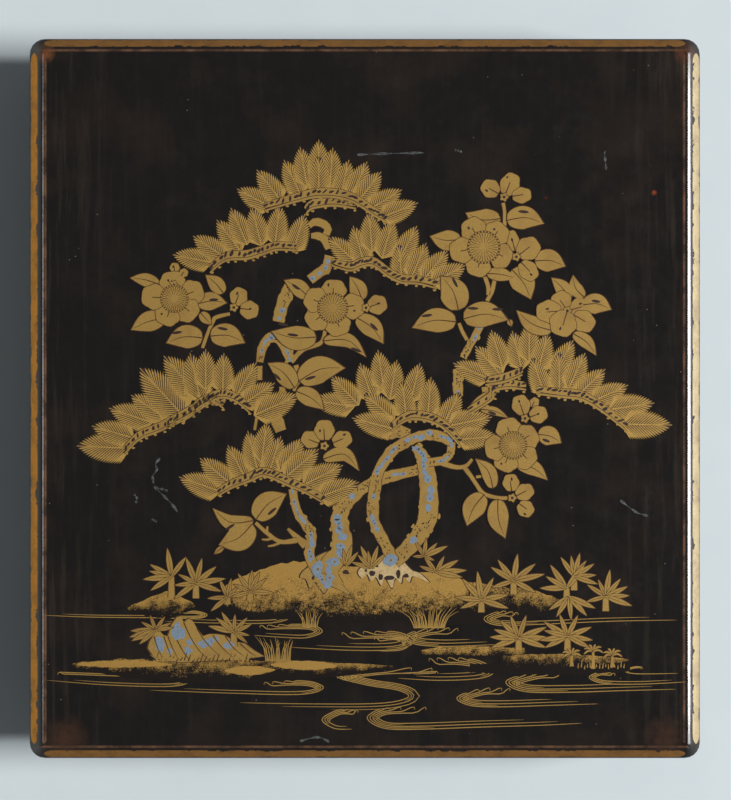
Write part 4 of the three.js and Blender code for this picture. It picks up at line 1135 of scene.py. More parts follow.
# Each: its base, its tip, its width, its sideways bend as a share of the length, and the places of
# slits.
LEAVES = (
    ((-69, 38.3), (-78.6, 40.4), 4.4, 0.05),
    ((-67, 27), (-78.3, 23), 6.7, 0.06),
    ((-47.4, 35.4), (-53.3, 41.3), 5, 0.05),
    ((-56, 31.8), (-46.3, 32), 6, 0.08, (-50.6, 33.1)),
    ((-55, 28.7), (-51.5, 24.8), 3.4, 0),
    ((-54.4, 20.3), (-66.5, 18.6), 7.7, 0.1, (-63, 22.1)),
    ((-51.7, 20.9), (-40.2, 18.6), 7.7, 0.12, (-47.6, 23.4)),
    ((-0.9, 33.1), (-5, 40.8), 5.7, 0.06),
    ((-2.7, 27.1), (6.2, 18.4), 6.7, 0.1, (3.1, 24)),
    ((-13.8, 19.3), (0.4, 13.9), 4.7, 0.2, (-2.9, 16.3)),
    ((-16.3, 20.6), (-31.3, 22.5), 8, -0.08, (-27.4, 24.8), (-24.1, 21.3)),
    ((-18.8, 33.8), (-27, 39.6), 5.4, 0.08, (-23.1, 37.4)),
    ((-23.6, 3.7), (-32.4, 11.8), 6.7, 0.1, (-29.4, 7.3)),
    ((-21.9, 5.9), (-6.6, 10.2), 9, 0.12, (-18.2, 6.9)),
    ((-22.9, 2.4), (-13.7, -3.7), 6, 0.08),
    ((45.4, 60.3), (33.9, 62.2), 7.4, -0.12),
    ((47.7, 59.7), (60, 58.6), 7.7, 0.12, (53.2, 62.6)),
    ((32.2, 53.3), (21.9, 54.4), 6.7, -0.08),
    ((57.1, 46.1), (67.2, 44.3), 7.4, 0.1),
    ((41, 41.9), (50.8, 40.2), 4.4, 0.05),
    ((49.4, 43.1), (55.6, 33.3), 8, 0.08),
    ((62.6, 22.8), (50.9, 29.5), 5.7, -0.1),
    ((68.7, 33.4), (62.6, 40.4), 5, 0.06),
    ((73.5, 34), (69.9, 41.3), 4.4, -0.15),
    ((73.2, 31.4), (82.6, 29.8), 6.7, 0.12, (77.5, 32.6)),
    ((69.9, 21.7), (77.5, 14.5), 4.4, 0.1),
    ((33.2, 26.7), (48.1, 26.3), 8.4, 0.12, (36.3, 30.2), (44.5, 29.9)),
    ((31.4, 29.7), (25.5, 41), 9.4, 0.1, (30.2, 38.9)),
    ((30.5, 25.7), (15.9, 23.7), 8, 0.1, (20.8, 27.8)),
    ((58.1, -12), (65.8, -14.9), 6.4, 0.1, (60.8, -14.1)),
    ((50.9, -22), (61.2, -27.3), 5, 0.12),
    ((42.9, -30), (37.1, -20.3), 5, 0.14),
    ((39.9, -32.3), (34.3, -42.6), 7.4, 0.08),
    ((44.6, -33.9), (47.1, -46.8), 7, -0.08),
    ((38.9, -3.6), (47.9, -6.4), 2.7, 0.08, (42.7, -4.9)),
    ((-13.9, -20.3), (-2, -24.2), 4.7, 0.3),
    ((-37.4, -40.9), (-50.9, -36.8), 5, -0.2),
    ((-36.4, -40.4), (-26.3, -32), 8.4, 0.1, (-31.1, -37.8)),
    ((-37.8, -42.1), (-48.9, -49), 9, -0.12, (-45.2, -43.1)),
    ((-47.5, -49.8), (-50.4, -52), 1.8, 0),
    ((48.4, 26.3), (49.1, 24.3), 1.8, 0),
)
# Each flower: its middle, the radius of its disc, and the angle and reach of each petal.
FLOWERS = (
    ((-63.8, 33.5), 4.3, ((97, 9), (18, 10), (-42, 9.4), (-113, 9.4), (175, 10.9))),
    ((-10.7, 30.3), 4.7, ((87, 9.4), (5, 10.4), (-73, 9.4), (-147, 10), (155, 10))),
    ((39.9, 50.7), 5.1, ((120, 10.7), (47, 10), (-27, 10), (-107, 10), (188, 11.4))),
    ((49.7, -15.7), 4.3, ((105, 9.2), (30, 9), (-45, 9.2), (-115, 9.2), (188, 9.4))),
)
# Each side flower or bud: its middle, and the place and the size of each petal along and across it.
BUDS = (
    ((50.8, 47.5), ((49.7, 52.8), 7, 4), ((54.7, 50.2), 8, 7.6), ((54.7, 43), 7.4, 6)),
    (
        (67.9, 29.4), ((72.1, 30.4), 7.4, 6.6), ((65.9, 32.6), 6.4, 7), ((73.2, 26), 8, 7),
        ((61.8, 29.2), 8.4, 7.4), ((66.5, 25.3), 8.6, 9),
    ),
    ((46.7, 67.5), ((42.2, 70.3), 6.4, 6), ((48.6, 71.7), 7.7, 6.4), ((52.5, 68.1), 6.4, 5.2)),
    ((-43.9, 30.5), ((-42.3, 34.1), 6, 5.8), ((-38.8, 29.7), 6.2, 6)),
    ((53.7, -6.7), ((56.8, -1.4), 3.4, 3), ((52.4, -2.3), 6.7, 6), ((58.1, -5.4), 6, 5.7)),
    ((49.4, -33.3), ((49, -28.3), 5.7, 5.4), ((53.5, -31.4), 6.2, 5.4), ((53.8, -36.9), 5.7, 5.4)),
    (
        (-13.5, -15.9), ((-18.1, -13.8), 6.2, 5.6), ((-7.7, -13.8), 6.6, 5.7),
        ((-13.5, -10.7), 6.8, 6.6),
    ),
    ((0.4, 30.4), ((4.1, 31.4), 6.4, 6.4)),
    ((-64, 38.1), ((-63.7, 43.8), 3.2, 3.2), ((-60.7, 42.1), 2.8, 2.8)),
)
PETAL_WIDTH = 8.4
LEAF_LEVEL = 0.24
BUD_LEVEL = 0.27
FLOWER_LEVEL = 0.28
DISC_LEVEL = 0.33


def leaf(bm, base, tip, width, bend, level, slits):
    """A pointed leaf with a drawn midrib."""
    base, tip = Vector(base), Vector(tip)
    line = tip - base
    middle = base + line * 0.5 + Vector((-line.y, line.x)) * bend * (1 if line.x > 0 else -1)
    points = (base, middle, tip)
    longer = (base - line.normalized() * EDGE, middle, tip + line.normalized() * 1.6 * EDGE)

    def breadth(part):
        return width * math.sin(math.pi * part**0.8) ** (0.65 + 0.85 * part)

    def breadth_below(part):
        return breadth(part) + 2 * EDGE * (part < 0.99)

    stroke(bm, longer, breadth_below, level - 0.008, LINE, steps=16)
    stroke(bm, points, breadth, level, GOLD, steps=16)
    stroke(bm, points, midrib_width, level + 0.004, LINE, steps=8, end=0.86)
    for slit in slits:
        half = line.normalized() * min(0.11 * line.length + 0.4, 1.8)
        ends = (Vector(slit) - half, Vector(slit) + half)
        stroke(bm, ends, slit_width, level + 0.006, BARE, steps=6)


def midrib_width(part):
    """The width of a leaf's midrib, which thins towards the tip."""
    return 0.42 - 0.28 * part


def slit_width(part):
    """The width of a slit, which is pointed at both ends."""
    return math.sin(math.pi * (0.1 + 0.8 * part))


def petal(bm, centre, size, heading, level):
    """A petal whose outer rim is notched, with a short drawn vein and often a chip."""
    ahead = Vector((math.cos(heading), math.sin(heading)))
    left = Vector((-ahead.y, ahead.x))
    for margin, height, coat in ((EDGE, level - 0.006, LINE), (0, level, GOLD)):
        places = []
        for k in range(24):
            angle = math.tau * k / 24
            lobe = 1 + 0.05 * math.cos(3 * angle) - 0.05 * math.cos(6 * angle)
            along_it = (size[0] / 2 * lobe + margin) * math.cos(angle)
            across_it = (size[1] / 2 * lobe + margin) * math.sin(angle) * (1 + 0.16 * math.cos(angle))
            places.append(Vector(centre) + ahead * along_it + left * across_it)
        plate(bm, places, height, coat)
    inner = Vector(centre) - ahead * size[0] * 0.46
    outer = inner + ahead * size[0] * 0.56 + left * 0.2
    stroke(bm, (inner, outer), vein_width, level + 0.003, LINE, steps=3)
    if random.random() < 0.5:
        aside = left * random.uniform(-0.28, 0.28) * size[1]
        middle = Vector(centre) + aside + ahead * random.uniform(-0.05, 0.25) * size[0]
        chip(bm, middle, ahead * 0.42 * random.uniform(0.9, 1.6), left * 0.36, level + 0.003)


def vein_width(part):
    """The width of a petal's vein."""
    return 0.42 - 0.14 * part


def chip(bm, middle, ahead, left, level):
    """An oval bit that has come off a petal."""
    angles = [math.tau * k / 8 for k in range(8)]
    plate(bm, [middle + ahead * math.cos(a) + left * math.sin(a) for a in angles], level, BARE)


def ray_width(part):
    """The width of the line between two stamens."""
    return 0.1 + 0.14 * part


bm = bmesh.new()
for number, (base, tip, width, bend, *slits) in enumerate(LEAVES):
    leaf(bm, base, tip, width, bend, LEAF_LEVEL + 0.0012 * number, slits)
relief("picture_leaves", bm, picture_coats)
bm = bmesh.new()
for middle, *petals in BUDS:
    for order, (centre, long, broad) in enumerate(petals):
        out = Vector(centre) - Vector(middle)
        petal(bm, centre, (long, broad), math.atan2(out.y, out.x), BUD_LEVEL + 0.008 * order)
    top = BUD_LEVEL + 0.03
    patch(bm, middle, lambda angle: 1.5 + 0.25 * math.cos(5 * angle), top, LINE, count=20)
    patch(bm, middle, lambda angle: 1.25 + 0.25 * math.cos(5 * angle), top + 0.005, GOLD, count=20)
    patch(bm, middle, lambda angle: 0.5, top + 0.01, BARE, count=8)
for middle, disc, petals in FLOWERS:
    middle = Vector(middle)
    for order, (degrees, reach) in enumerate(petals):
        heading = math.radians(degrees)
        near = disc * 0.55
        centre = middle + Vector((math.cos(heading), math.sin(heading))) * (near + reach) / 2
        petal(bm, centre, (reach - near, PETAL_WIDTH), heading, FLOWER_LEVEL + 0.007 * order)
    patch(bm, middle, lambda angle: disc + 0.5, DISC_LEVEL, LINE, count=48)
    patch(bm, middle, lambda angle: disc - 0.25, DISC_LEVEL + 0.005, GOLD, count=48)
    for ray in range(30):
        angle = math.tau * ray / 30
        out = Vector((math.cos(angle), math.sin(angle)))
        inner = middle + out * disc * (0.3 if ray % 2 else 0.55)
        stroke(bm, (inner, middle + out * disc * 0.92), ray_width, DISC_LEVEL + 0.01, LINE, steps=1)
        stamen = middle + out * (disc + 0.12)
        patch(bm, stamen, lambda angle: 0.32, DISC_LEVEL + 0.015, GOLD, count=6)
relief("picture_camellias", bm, picture_coats)

# The bamboo grass
# Stars of lance-shaped leaves on short stems, with tufts of fine grass between them.
STARS = (
    (
        (-64.8, -59.7), -66.6,
        (
            (-66.2, -50.3), (-71.9, -55.7), (-72.1, -57.9), (-74.2, -60.6), (-71.7, -64.3),
            (-60, -53.2),
        ),
    ),
    (
        (-56.6, -61.9), -67,
        (
            (-59.9, -53.5), (-54.6, -53.7), (-49.9, -56.4), (-46.8, -60.4), (-48.2, -64.6),
            (-63.8, -67), (-63.7, -62.6), (-62.4, -59),
        ),
    ),
    (
        (-46, -66.6), -69,
        (
            (-48.6, -60.8), (-44.8, -60.4), (-42.4, -62.9), (-52.6, -67), (-51.5, -71.2),
            (-40.9, -64.8),
        ),
    ),
    (
        (-38.4, -64.8), -67.6,
        (
            (-42.4, -58.8), (-37.8, -57.6), (-35.2, -58.2), (-33.1, -60.4), (-30.5, -65.2),
            (-43.9, -62.3), (-44.6, -66.6),
        ),
    ),
    (
        (-70.1, -77.6), -82.7,
        (
            (-71.9, -72.8), (-74.8, -75), (-78.4, -77.9), (-78.8, -80), (-78.1, -81.2),
            (-75.5, -82.3), (-67.1, -73.2), (-65, -75.3), (-64.2, -76.8),
        ),
    ),
    (
        (-43.9, -78.3), -83.1,
        (
            (-47.9, -71.7), (-43.5, -72.5), (-39.5, -73.6), (-38, -75.7), (-38.8, -79.4),
            (-52.3, -76.3), (-49.7, -73.6), (-39.5, -81.9),
        ),
    ),
    (
        (39.1, -67.5), -71.7,
        (
            (32.8, -60.5), (37.8, -58.1), (43.1, -60.2), (48, -65.8), (48, -70.3), (32.1, -70.3),
            (30.3, -66.6),
        ),
    ),
    (
        (49.9, -61.1), -65.6,
        (
            (44.7, -54.2), (51.2, -52.2), (57.1, -55.5), (60.2, -58.9), (57.3, -65), (42.7, -63.3),
            (42.4, -56.6),
        ),
    ),
    (
        (70.2, -59.7), -64.3,
        (
            (65.8, -53.3), (69.2, -52.8), (72.1, -51.9), (74.2, -54.4), (76.8, -55.5), (77.5, -59.2),
            (78, -62.2),
        ),
    ),
    ((67.7, -63.6), -67.6, ((62.3, -55.9), (58.8, -63.6), (60.8, -59.7), (73.6, -55.8))),
    (
        (68.5, -66.4), -67.6,
        ((61.9, -70.8), (64.3, -73.1), (69.2, -74.2), (74.4, -72.8), (77.2, -70.3)),
    ),
    (
        (80.8, -66.4), -71.3,
        (
            (74.7, -62.5), (78.3, -60.8), (82.2, -57.5), (85.7, -60.5), (88, -63.1), (88.6, -66.1),
            (89.5, -69.5), (74.4, -68.1),
        ),
    ),
    (
        (51.6, -80.3), -84.4,
        (
            (45.5, -74.5), (48.9, -72.8), (54.1, -72.8), (60.8, -76.7), (62.2, -80.3), (60.8, -83.5),
            (42.4, -83.5), (42.1, -80), (43.5, -77.5),
        ),
    ),
    (
        (68, -79.7), -84.4,
        (
            (60.2, -75), (65.4, -72.5), (71.4, -72.8), (75.9, -76.7), (76.3, -81), (75.5, -83.6),
            (60.5, -83.5), (58.8, -81.1), (60.2, -77.8),
        ),
    ),
    ((-6.3, -56.2), -56.5, ((-9.3, -49.2), (-7.3, -50.5), (-4.3, -49.2), (-2.3, -51.5))),
    (
        (2.1, -56.9), -57.2,
        ((-1.3, -49.5), (1.1, -51.2), (4.4, -49.5), (7.1, -51.9), (-4.3, -54.9), (-2.3, -52.5)),
    ),
    (
        (19.9, -52.9), -53.2,
        ((16.9, -47.8), (20.6, -46.8), (24.2, -48.5), (27.6, -49.5), (23.2, -54.2), (16.2, -52.9)),
    ),
    (
        (23.9, -58.2), -58.6,
        ((19.9, -52.9), (26.6, -52.9), (31.3, -54.2), (34, -57.6), (32.6, -59.9), (18.5, -56.2)),
    ),
)
TUFTS = (
    ((21.6, -77), 14.1, 7.4, 24),
    ((-29.1, -88.1), 11.4, 8.4, 18),
    ((-18.4, -76.7), 6.7, 6, 12),
    ((-67, -88.1), 7.4, 2.3, 12),
    ((-41.9, -87.8), 8.1, 2.3, 12),
)


def lance(bm, foot, tip, level):
    """A lance-shaped leaf with a midrib, as broad as suits its length."""
    line = tip - foot
    broad = min(max(0.2 * line.length, 0.9), 1.9)

    def breadth(part):
        return broad * math.sin(math.pi * (0.08 + 0.92 * part)) ** 1.25

    longer = (foot, tip + line.normalized() * EDGE)
    stroke(bm, longer, lambda part: breadth(part) + 0.36, level, LINE, steps=7)
    stroke(bm, (foot, tip), breadth, level + 0.0015, GOLD, steps=7)
    stroke(bm, (foot, tip), rib_width, level + 0.0025, LINE, steps=2, start=0.1, end=0.8)


def rib_width(part):
    """The width of a lance's midrib."""
    return 0.22 - 0.12 * part


def grass_width(part):
    """The width of a blade of grass, which thins to its tip."""
    return 0.36 * (1 - part) + 0.08


bm = bmesh.new()
for number, (middle, foot, tips) in enumerate(STARS):
    level = 0.06 + 0.004 * (number % 6)
    middle = Vector(middle)
    stem = (middle, Vector((middle.x, foot)))
    stroke(bm, stem, lambda part: 2.2 + 0.4 * part, level, LINE, steps=2)
    stroke(bm, stem, lambda part: 1.7 + 0.4 * part, level + 0.003, GOLD, steps=2)
    for order, tip in enumerate(tips):
        lance(bm, middle, Vector(tip), level + 0.01 + 0.003 * order)
for (x, y), wide, tall, count in TUFTS:
    for blade_number in range(count):
        share = blade_number / (count - 1)
        foot = Vector((x + (share - 0.5) * wide * 0.7, y))
        lean = (share - 0.5) * wide * 0.55 + random.uniform(-2.2, 2.2)
        tip = foot + Vector((lean, tall * random.uniform(0.75, 1)))
        knee = foot + Vector((lean * 0.3, tall * 0.5))
        stroke(bm, (foot, knee, tip), grass_width, 0.1 + 0.001 * blade_number, GOLD, steps=4)
relief("picture_bamboo_grass", bm, picture_coats)

# The small palms
# Three far-off palms with arching fronds, on the bar at the right, and a row of reeds at its foot.
# They are drawn small and light, in the same gold powder.

# The crown of each and the height of its foot.
PALMS = (((69.4, -86.1), -89.8), ((76.6, -84.9), -90.6), ((83, -86.2), -90.1))
# From the crown to the tip of each frond.
FRONDS = ((-3.2, -0.9), (-3.1, 0.9), (-1.5, 2.2), (0.9, 2.3), (2.8, 1.5), (3.4, -0.4))
FROND_ARCH = 0.75
REED_PITCH = 1.02


def frond_width(part):
    """The width of a frond, which is broadest past its middle."""
    return 0.62 * math.sin(math.pi * (0.1 + 0.9 * part) ** 1.2) ** 0.8


def frond_shade_width(part):
    """The width of the brown line under a frond."""
    return frond_width(part) + 0.3


def palm_trunk_width(part):
    """The width of a palm's trunk, which flares at its foot."""
    return 0.8 + 0.7 * part**2


bm = bmesh.new()
for number, ((x, y), foot) in enumerate(PALMS):
    level = 0.09 + 0.03 * number
    stroke(bm, ((x, y), (x, foot)), palm_trunk_width, level, GOLD, steps=4)
    for order, (sideways, up) in enumerate(FRONDS):
        knee = (x + sideways / 2, y + up / 2 + FROND_ARCH)
        tip = (x + sideways, y + up)
        low = level + 0.003 + 0.003 * order
        stroke(bm, ((x, y), knee, tip), frond_shade_width, low, LINE, steps=7)
        stroke(bm, ((x, y), knee, tip), frond_width, low + 0.0015, GOLD, steps=7)
for reed in range(16):
    x = 71.6 + reed * REED_PITCH
    foot = -90.4 + 0.35 * math.sin(2.3 * reed)
    rise = 1.6 + 0.6 * math.sin(1.9 * reed)
    tip = (x + 0.25 * math.sin(reed), foot + rise)
    stroke(bm, ((x, foot), tip), crevice_width, 0.08, GOLD, steps=2)
relief("picture_palms", bm, picture_coats)

# The scratches
# Scuffs and scratches that have gone through the polish on the left of the field, drawn thin and
# uneven.
scuffed_lacquer, tree, shader, place = finish("scuffed_lacquer", {"Roughness": 0.6})
scuffs = add(tree, "TexNoise", place, 1 / 0.9, 6, 0.7)
scuff_share = add(tree, "MapRange", scuffs, 0.42, 0.62)
scuffed = add(tree, "Mix", scuff_share, linear("#191412"), linear("#565B5C"), data_type="RGBA")
tree.links.new(scuffed, shader.inputs["Base Color"])


def scratch_width(part):
    """The uneven width of a scratch, as a share of its length."""
    return 0.55 + 0.4 * math.sin(part * 17)


SCRATCHES = (
    ((-68.7, -20), (-70.1, -22), (-69.7, -24), (-71.1, -26), (-70.7, -28.7)),
    ((-70.7, -29.4), (-68.7, -31.4), (-66.7, -33.4), (-64.7, -35.4), (-62.7, -38.1)),
    ((-70.1, -30), (-67.7, -30.4), (-66, -31)),
    ((-77.4, -32), (-76.4, -33.4), (-76.8, -35.1)),
    ((-71.4, -40.4), (-69.7, -41.4)),
    ((-2.6, 81.7), (6.8, 82.1), (19.9, 82.4)),
    ((30.3, 83.4), (32.6, 82.7)),
    ((85.7, -34.1), (91, -38.1), (95.1, -39.4)),
    ((-55.3, 12.9), (-55, 6.2), (-56, -1.8)),
    ((80.3, 83.4), (81, 76.7)),
    ((-21.7, -114.9), (-15.7, -113.6), (-11.7, -115.3)),
)
bm = bmesh.new()
for scratch in SCRATCHES:
    stroke(bm, scratch, scratch_width, 0.006, steps=14)
relief("lid_scratches", bm, [scuffed_lacquer])

# The box
# A tray of thin wood with mitred sides, black outside and underneath. Its inside is strewn with gold
# flakes, and so are the two battens that carry the trays and the inkstone's board.
BODY_SIZE = (215.9, 232.4)
BODY_CORNER = 3.4
INSIDE = 3.95  # beyond this far in from the sides, a face above the base belongs to the inside

# Gold flakes lie at many depths in amber lacquer, so they glitter unevenly.
gold_flaked_lacquer, tree, shader, place = finish(
    "gold_flaked_lacquer", {"Coat Weight": 0.6, "Coat Roughness": 0.12}
)
flake = add(tree, "TexVoronoi", place, 1 / 0.55, feature="F1", output="all")
flake_kind = add(tree, "SeparateColor", flake["Color"])
clouds = add(tree, "TexNoise", place, 1 / 18, 3)
amber = add(tree, "Mix", clouds, linear("#3A220F"), linear("#5A3717"), data_type="RGBA")
flake_share = add(tree, "MapRange", flake_kind, 0.45, 0.8)
flaked = add(tree, "Mix", flake_share, amber, linear("#C08F45"), data_type="RGBA")
tree.links.new(flaked, shader.inputs["Base Color"])
flake_metal = add(tree, "MapRange", flake_share, 0, 1, 0, 0.7)
tree.links.new(flake_metal, shader.inputs["Metallic"])
flake_rough = add(tree, "MapRange", flake_share, 0, 1, 0.3, 0.45)
tree.links.new(flake_rough, shader.inputs["Roughness"])

# The same black coat as the lid's, without its gold, a little greyer from standing on tables.
plain_black_lacquer, tree, shader, place = finish("plain_black_lacquer", {"IOR": 1.5})
rub = add(tree, "TexNoise", place, 1 / 14, 6, 0.6)
rub_share = add(tree, "MapRange", rub, 0.5, 0.75, 0, 0.6)
black = add(tree, "Mix", rub_share, linear("#15110F"), linear("#2E241C"), data_type="RGBA")
tree.links.new(black, shader.inputs["Base Color"])
dull = add(tree, "MapRange", rub, 0.3, 0.7, 0.18, 0.34)
tree.links.new(dull, shader.inputs["Roughness"])

BODY_PROFILE = (
    (60, 0), (4, 0), (0.7, 0), (0.2, 0.23), (0, 0.7), (0, 41.1), (0.12, 41.38), (0.4, 41.5),
    (3.6, 41.5), (3.88, 41.38), (4, 41.1), (4, 4.5), (4.15, 4.15), (4.5, 4), (9, 4), (60, 4),
)
bm = bmesh.new()
rings = []
for inset_by, height in BODY_PROFILE:
    rings.append(outline(bm, BODY_SIZE, BODY_CORNER, inset_by, height))
loft(bm, rings)
for face in bm.faces:
    middle = face.calc_center_median()
    from_wall = min(BODY_SIZE[0] / 2 - abs(middle.x), BODY_SIZE[1] / 2 - abs(middle.y))
    face.material_index = int(from_wall > INSIDE and middle.z > 1)
piece(
    "box_shell", bm, [plain_black_lacquer, gold_flaked_lacquer], "box",
    ["body_bottom_panel", "body_back_side", "body_front_side", "body_left_side", "body_right_side"],
)

# The board and the two trays
# Their own CAD solids, strewn with the same flakes. The rests that the tools lie in are black.
for name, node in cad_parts.items():
    if name.endswith("_rest"):
        node.material_slots[0].material = plain_black_lacquer
    elif name.endswith("_batten") or name == "inkstone_board" or "_tray_" in name:
        node.material_slots[0].material = gold_flaked_lacquer

# The inkstone
# Fine blue-black slate, honed; its grinding face is grey with dried ink.
honed_slate, tree, shader, place = finish("honed_slate", {"Specular IOR Level": 0.4})
bedding = add(tree, "VectorMath", place, (1, 0.25, 1), operation="MULTIPLY")
bed = add(tree, "TexNoise", bedding, 1 / 9, 7, 0.6)
stone = add(tree, "Mix", bed, linear("#25282C"), linear("#3F444A"), data_type="RGBA")
pores = add(tree, "TexNoise", place, 1 / 0.3, 2)
pitted = add(tree, "MapRange", pores, 0.62, 0.75, 0, 0.5)
stone = add(tree, "Mix", pitted, stone, linear("#15171A"), data_type="RGBA")
tree.links.new(stone, shader.inputs["Base Color"])
stone_rough = add(tree, "MapRange", bed, 0, 1, 0.5, 0.75)
tree.links.new(stone_rough, shader.inputs["Roughness"])
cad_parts["inkstone"].material_slots[0].material = honed_slate

# The water dropper
# Copper, hammered into five petals and fire gilt. The gilding is rubbed brown on the crests.
fire_gilt_copper, tree, shader, place = finish("fire_gilt_copper", {"Metallic": 1})
worn = add(tree, "TexNoise", place, 1 / 5, 6, 0.65)
worn_share = add(tree, "MapRange", worn, 0.5, 0.7, 0, 0.8)
gilt = add(tree, "Mix", worn_share, linear("#D2A354"), linear("#8A5A38"), data_type="RGBA")
tree.links.new(gilt, shader.inputs["Base Color"])
gilt_rough = add(tree, "MapRange", worn, 0, 1, 0.28, 0.5)
tree.links.new(gilt_rough, shader.inputs["Roughness"])
dents = add(tree, "TexVoronoi", place, 1 / 2.2, feature="SMOOTH_F1")
hammered = add(tree, "Bump", inputs={"Height": dents, "Distance": 0.05 * MM, "Strength": 0.6})
tree.links.new(hammered, shader.inputs["Normal"])
for name in ("dropper_cup", "dropper_top_plate", "dropper_spout"):
    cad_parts[name].material_slots[0].material = fire_gilt_copper

# The two brushes
# Cane handles with two swollen joints, goat hair drawn to a point, and caps of wider cane.
BRUSH_LANES = {"brush_1": -93.25, "brush_2": -80.25}
TOOL_AXIS = 22.5  # height of the tools' axes
ROUND_STEPS = 48


def sleeve(bm, sections, x, ribs=0):
    """Walls through sections round a line along Y.

    Each is a place on it, a half width and, where the section isn't round, a half height.
    """
    rings = []
    for along, half_width, *flat in sections:
        half_height = flat[0] if flat else half_width
        old = set(bm.edges)
        verts = bmesh.ops.create_circle(bm, segments=ROUND_STEPS, radius=1)["verts"]
        if ribs:
            for index, vert in enumerate(verts):
                vert.co *= 1 - ribs * (index % 2)
        bmesh.ops.rotate(bm, matrix=Matrix.Rotation(math.pi / 2, 3, "X"), verts=verts)
        bmesh.ops.scale(bm, vec=(half_width, 1, half_height), verts=verts)
        bmesh.ops.translate(bm, vec=(x, along, TOOL_AXIS), verts=verts)
        rings.append([edge for edge in bm.edges if edge not in old])
    loft(bm, rings)


# Straw-coloured cane with fine lengthwise fibres, browned where it is held.
polished_cane, tree, shader, place = finish("polished_cane", {"Roughness": 0.32, "Coat Weight": 0.3})
lengthwise = add(tree, "VectorMath", place, (1, 0.03, 1), operation="MULTIPLY")
fibre = add(tree, "TexNoise", lengthwise, 1 / 0.5, 3)
cane = add(tree, "Mix", fibre, linear("#8E6232"), linear("#C49A5C"), data_type="RGBA")
stain = add(tree, "TexNoise", place, 1 / 12, 5)
stain_share = add(tree, "MapRange", stain, 0.5, 0.75, 0, 0.6)
cane = add(tree, "Mix", stain_share, cane, linear("#5F3B1C"), data_type="RGBA")
tree.links.new(cane, shader.inputs["Base Color"])

# Cream goat hair, starched, in paler and darker lengthwise streaks.
goat_hair, tree, shader, place = finish("goat_hair", {"Roughness": 0.7, "Sheen Weight": 0.2})
lengthwise = add(tree, "VectorMath", place, (1, 0.05, 1), operation="MULTIPLY")
strands = add(tree, "TexNoise", lengthwise, 1 / 0.25, 2)
hair = add(tree, "Mix", strands, linear("#A08A64"), linear("#E0D0AE"), data_type="RGBA")
tree.links.new(hair, shader.inputs["Base Color"])
combed = add(tree, "Bump", inputs={"Height": strands, "Distance": 0.1 * MM})
tree.links.new(combed, shader.inputs["Normal"])

CANE_JOINTS = (-66, -18)
CANE_JOINT = (
    (-2.5, 3.75), (-1.4, 3.82), (-0.6, 4), (-0.3, 3.95), (0, 3.8), (0.3, 3.95), (0.9, 3.9),
    (2.4, 3.75),
)
for name, lane in BRUSH_LANES.items():
    bm = bmesh.new()
    sections = [(-100, 2.6), (-99.8, 3.2), (-99, 3.75)]
    for joint in CANE_JOINTS:
        sections += [(joint + offset, radius) for offset, radius in CANE_JOINT]
    sections += [(48.8, 3.75), (49.7, 3.6), (50, 3.4)]
    sleeve(bm, sections, lane)
    piece(f"{name}_cane", bm, [polished_cane], name, [f"{name}_handle"])
    bm = bmesh.new()
    sections = (
        (50, 2.9), (53, 3.2), (56, 3.3), (60, 3.1), (64, 2.5), (68, 1.6), (71, 0.85), (73.2, 0.3),
        (74, 0.05),
    )
    sleeve(bm, sections, lane, ribs=0.06)
    piece(f"{name}_tuft", bm, [goat_hair], name, [f"{name}_hair"], sharp=80)
    bm = bmesh.new()
    sections = (
        (77, 4.2), (32, 4.2), (32, 5.3), (32.2, 5.5), (32.8, 5.6), (78, 5.6), (79.2, 5.35),
        (79.8, 4.9), (80, 4.4),
    )
    sleeve(bm, sections, lane)
    piece(f"{name}_cap_cane", bm, [polished_cane], f"{name}_cap", [f"{name}_cap"])

# The ink stick holder
# A turned rod, slit into two jaws, under red lacquer worn through to black. Its own CAD solid is kept.
# The gilt ring that closes the jaws is finer here than in the CAD.
HOLDER_LANE = -67.25
worn_red_lacquer, tree, shader, place = finish(
    "worn_red_lacquer", {"Coat Weight": 0.3, "Coat Roughness": 0.15}
)
rub = add(tree, "TexNoise", place, 1 / 9, 8, 0.62)
rub_share = add(tree, "MapRange", rub, 0.56, 0.62)
red = add(tree, "Mix", rub, linear("#7A2418"), linear("#541810"), data_type="RGBA")
red = add(tree, "Mix", rub_share, red, linear("#241512"), data_type="RGBA")
tree.links.new(red, shader.inputs["Base Color"])
red_rough = add(tree, "MapRange", rub, 0, 1, 0.22, 0.4)
tree.links.new(red_rough, shader.inputs["Roughness"])
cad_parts["ink_holder_rod"].material_slots[0].material = worn_red_lacquer
bm = bmesh.new()
sections = (
    (14.5, 4.3), (12, 4.3), (12, 5), (12.15, 5.2), (12.5, 5.3), (13.9, 5.3), (14.2, 5.15),
    (14.5, 5.15), (14.8, 5.3), (16.5, 5.3), (16.85, 5.2), (17, 5), (17, 4.3), (14.5, 4.3),
)
sleeve(bm, sections, HOLDER_LANE)
caps = [face for face in bm.faces if len(face.verts) > 4]
bmesh.ops.delete(bm, geom=caps, context="FACES_ONLY")
piece(
    "ink_holder_gilt_ring", bm, [fire_gilt_copper], "ink_holder_ring",
    ["ink_holder_ring"],
)

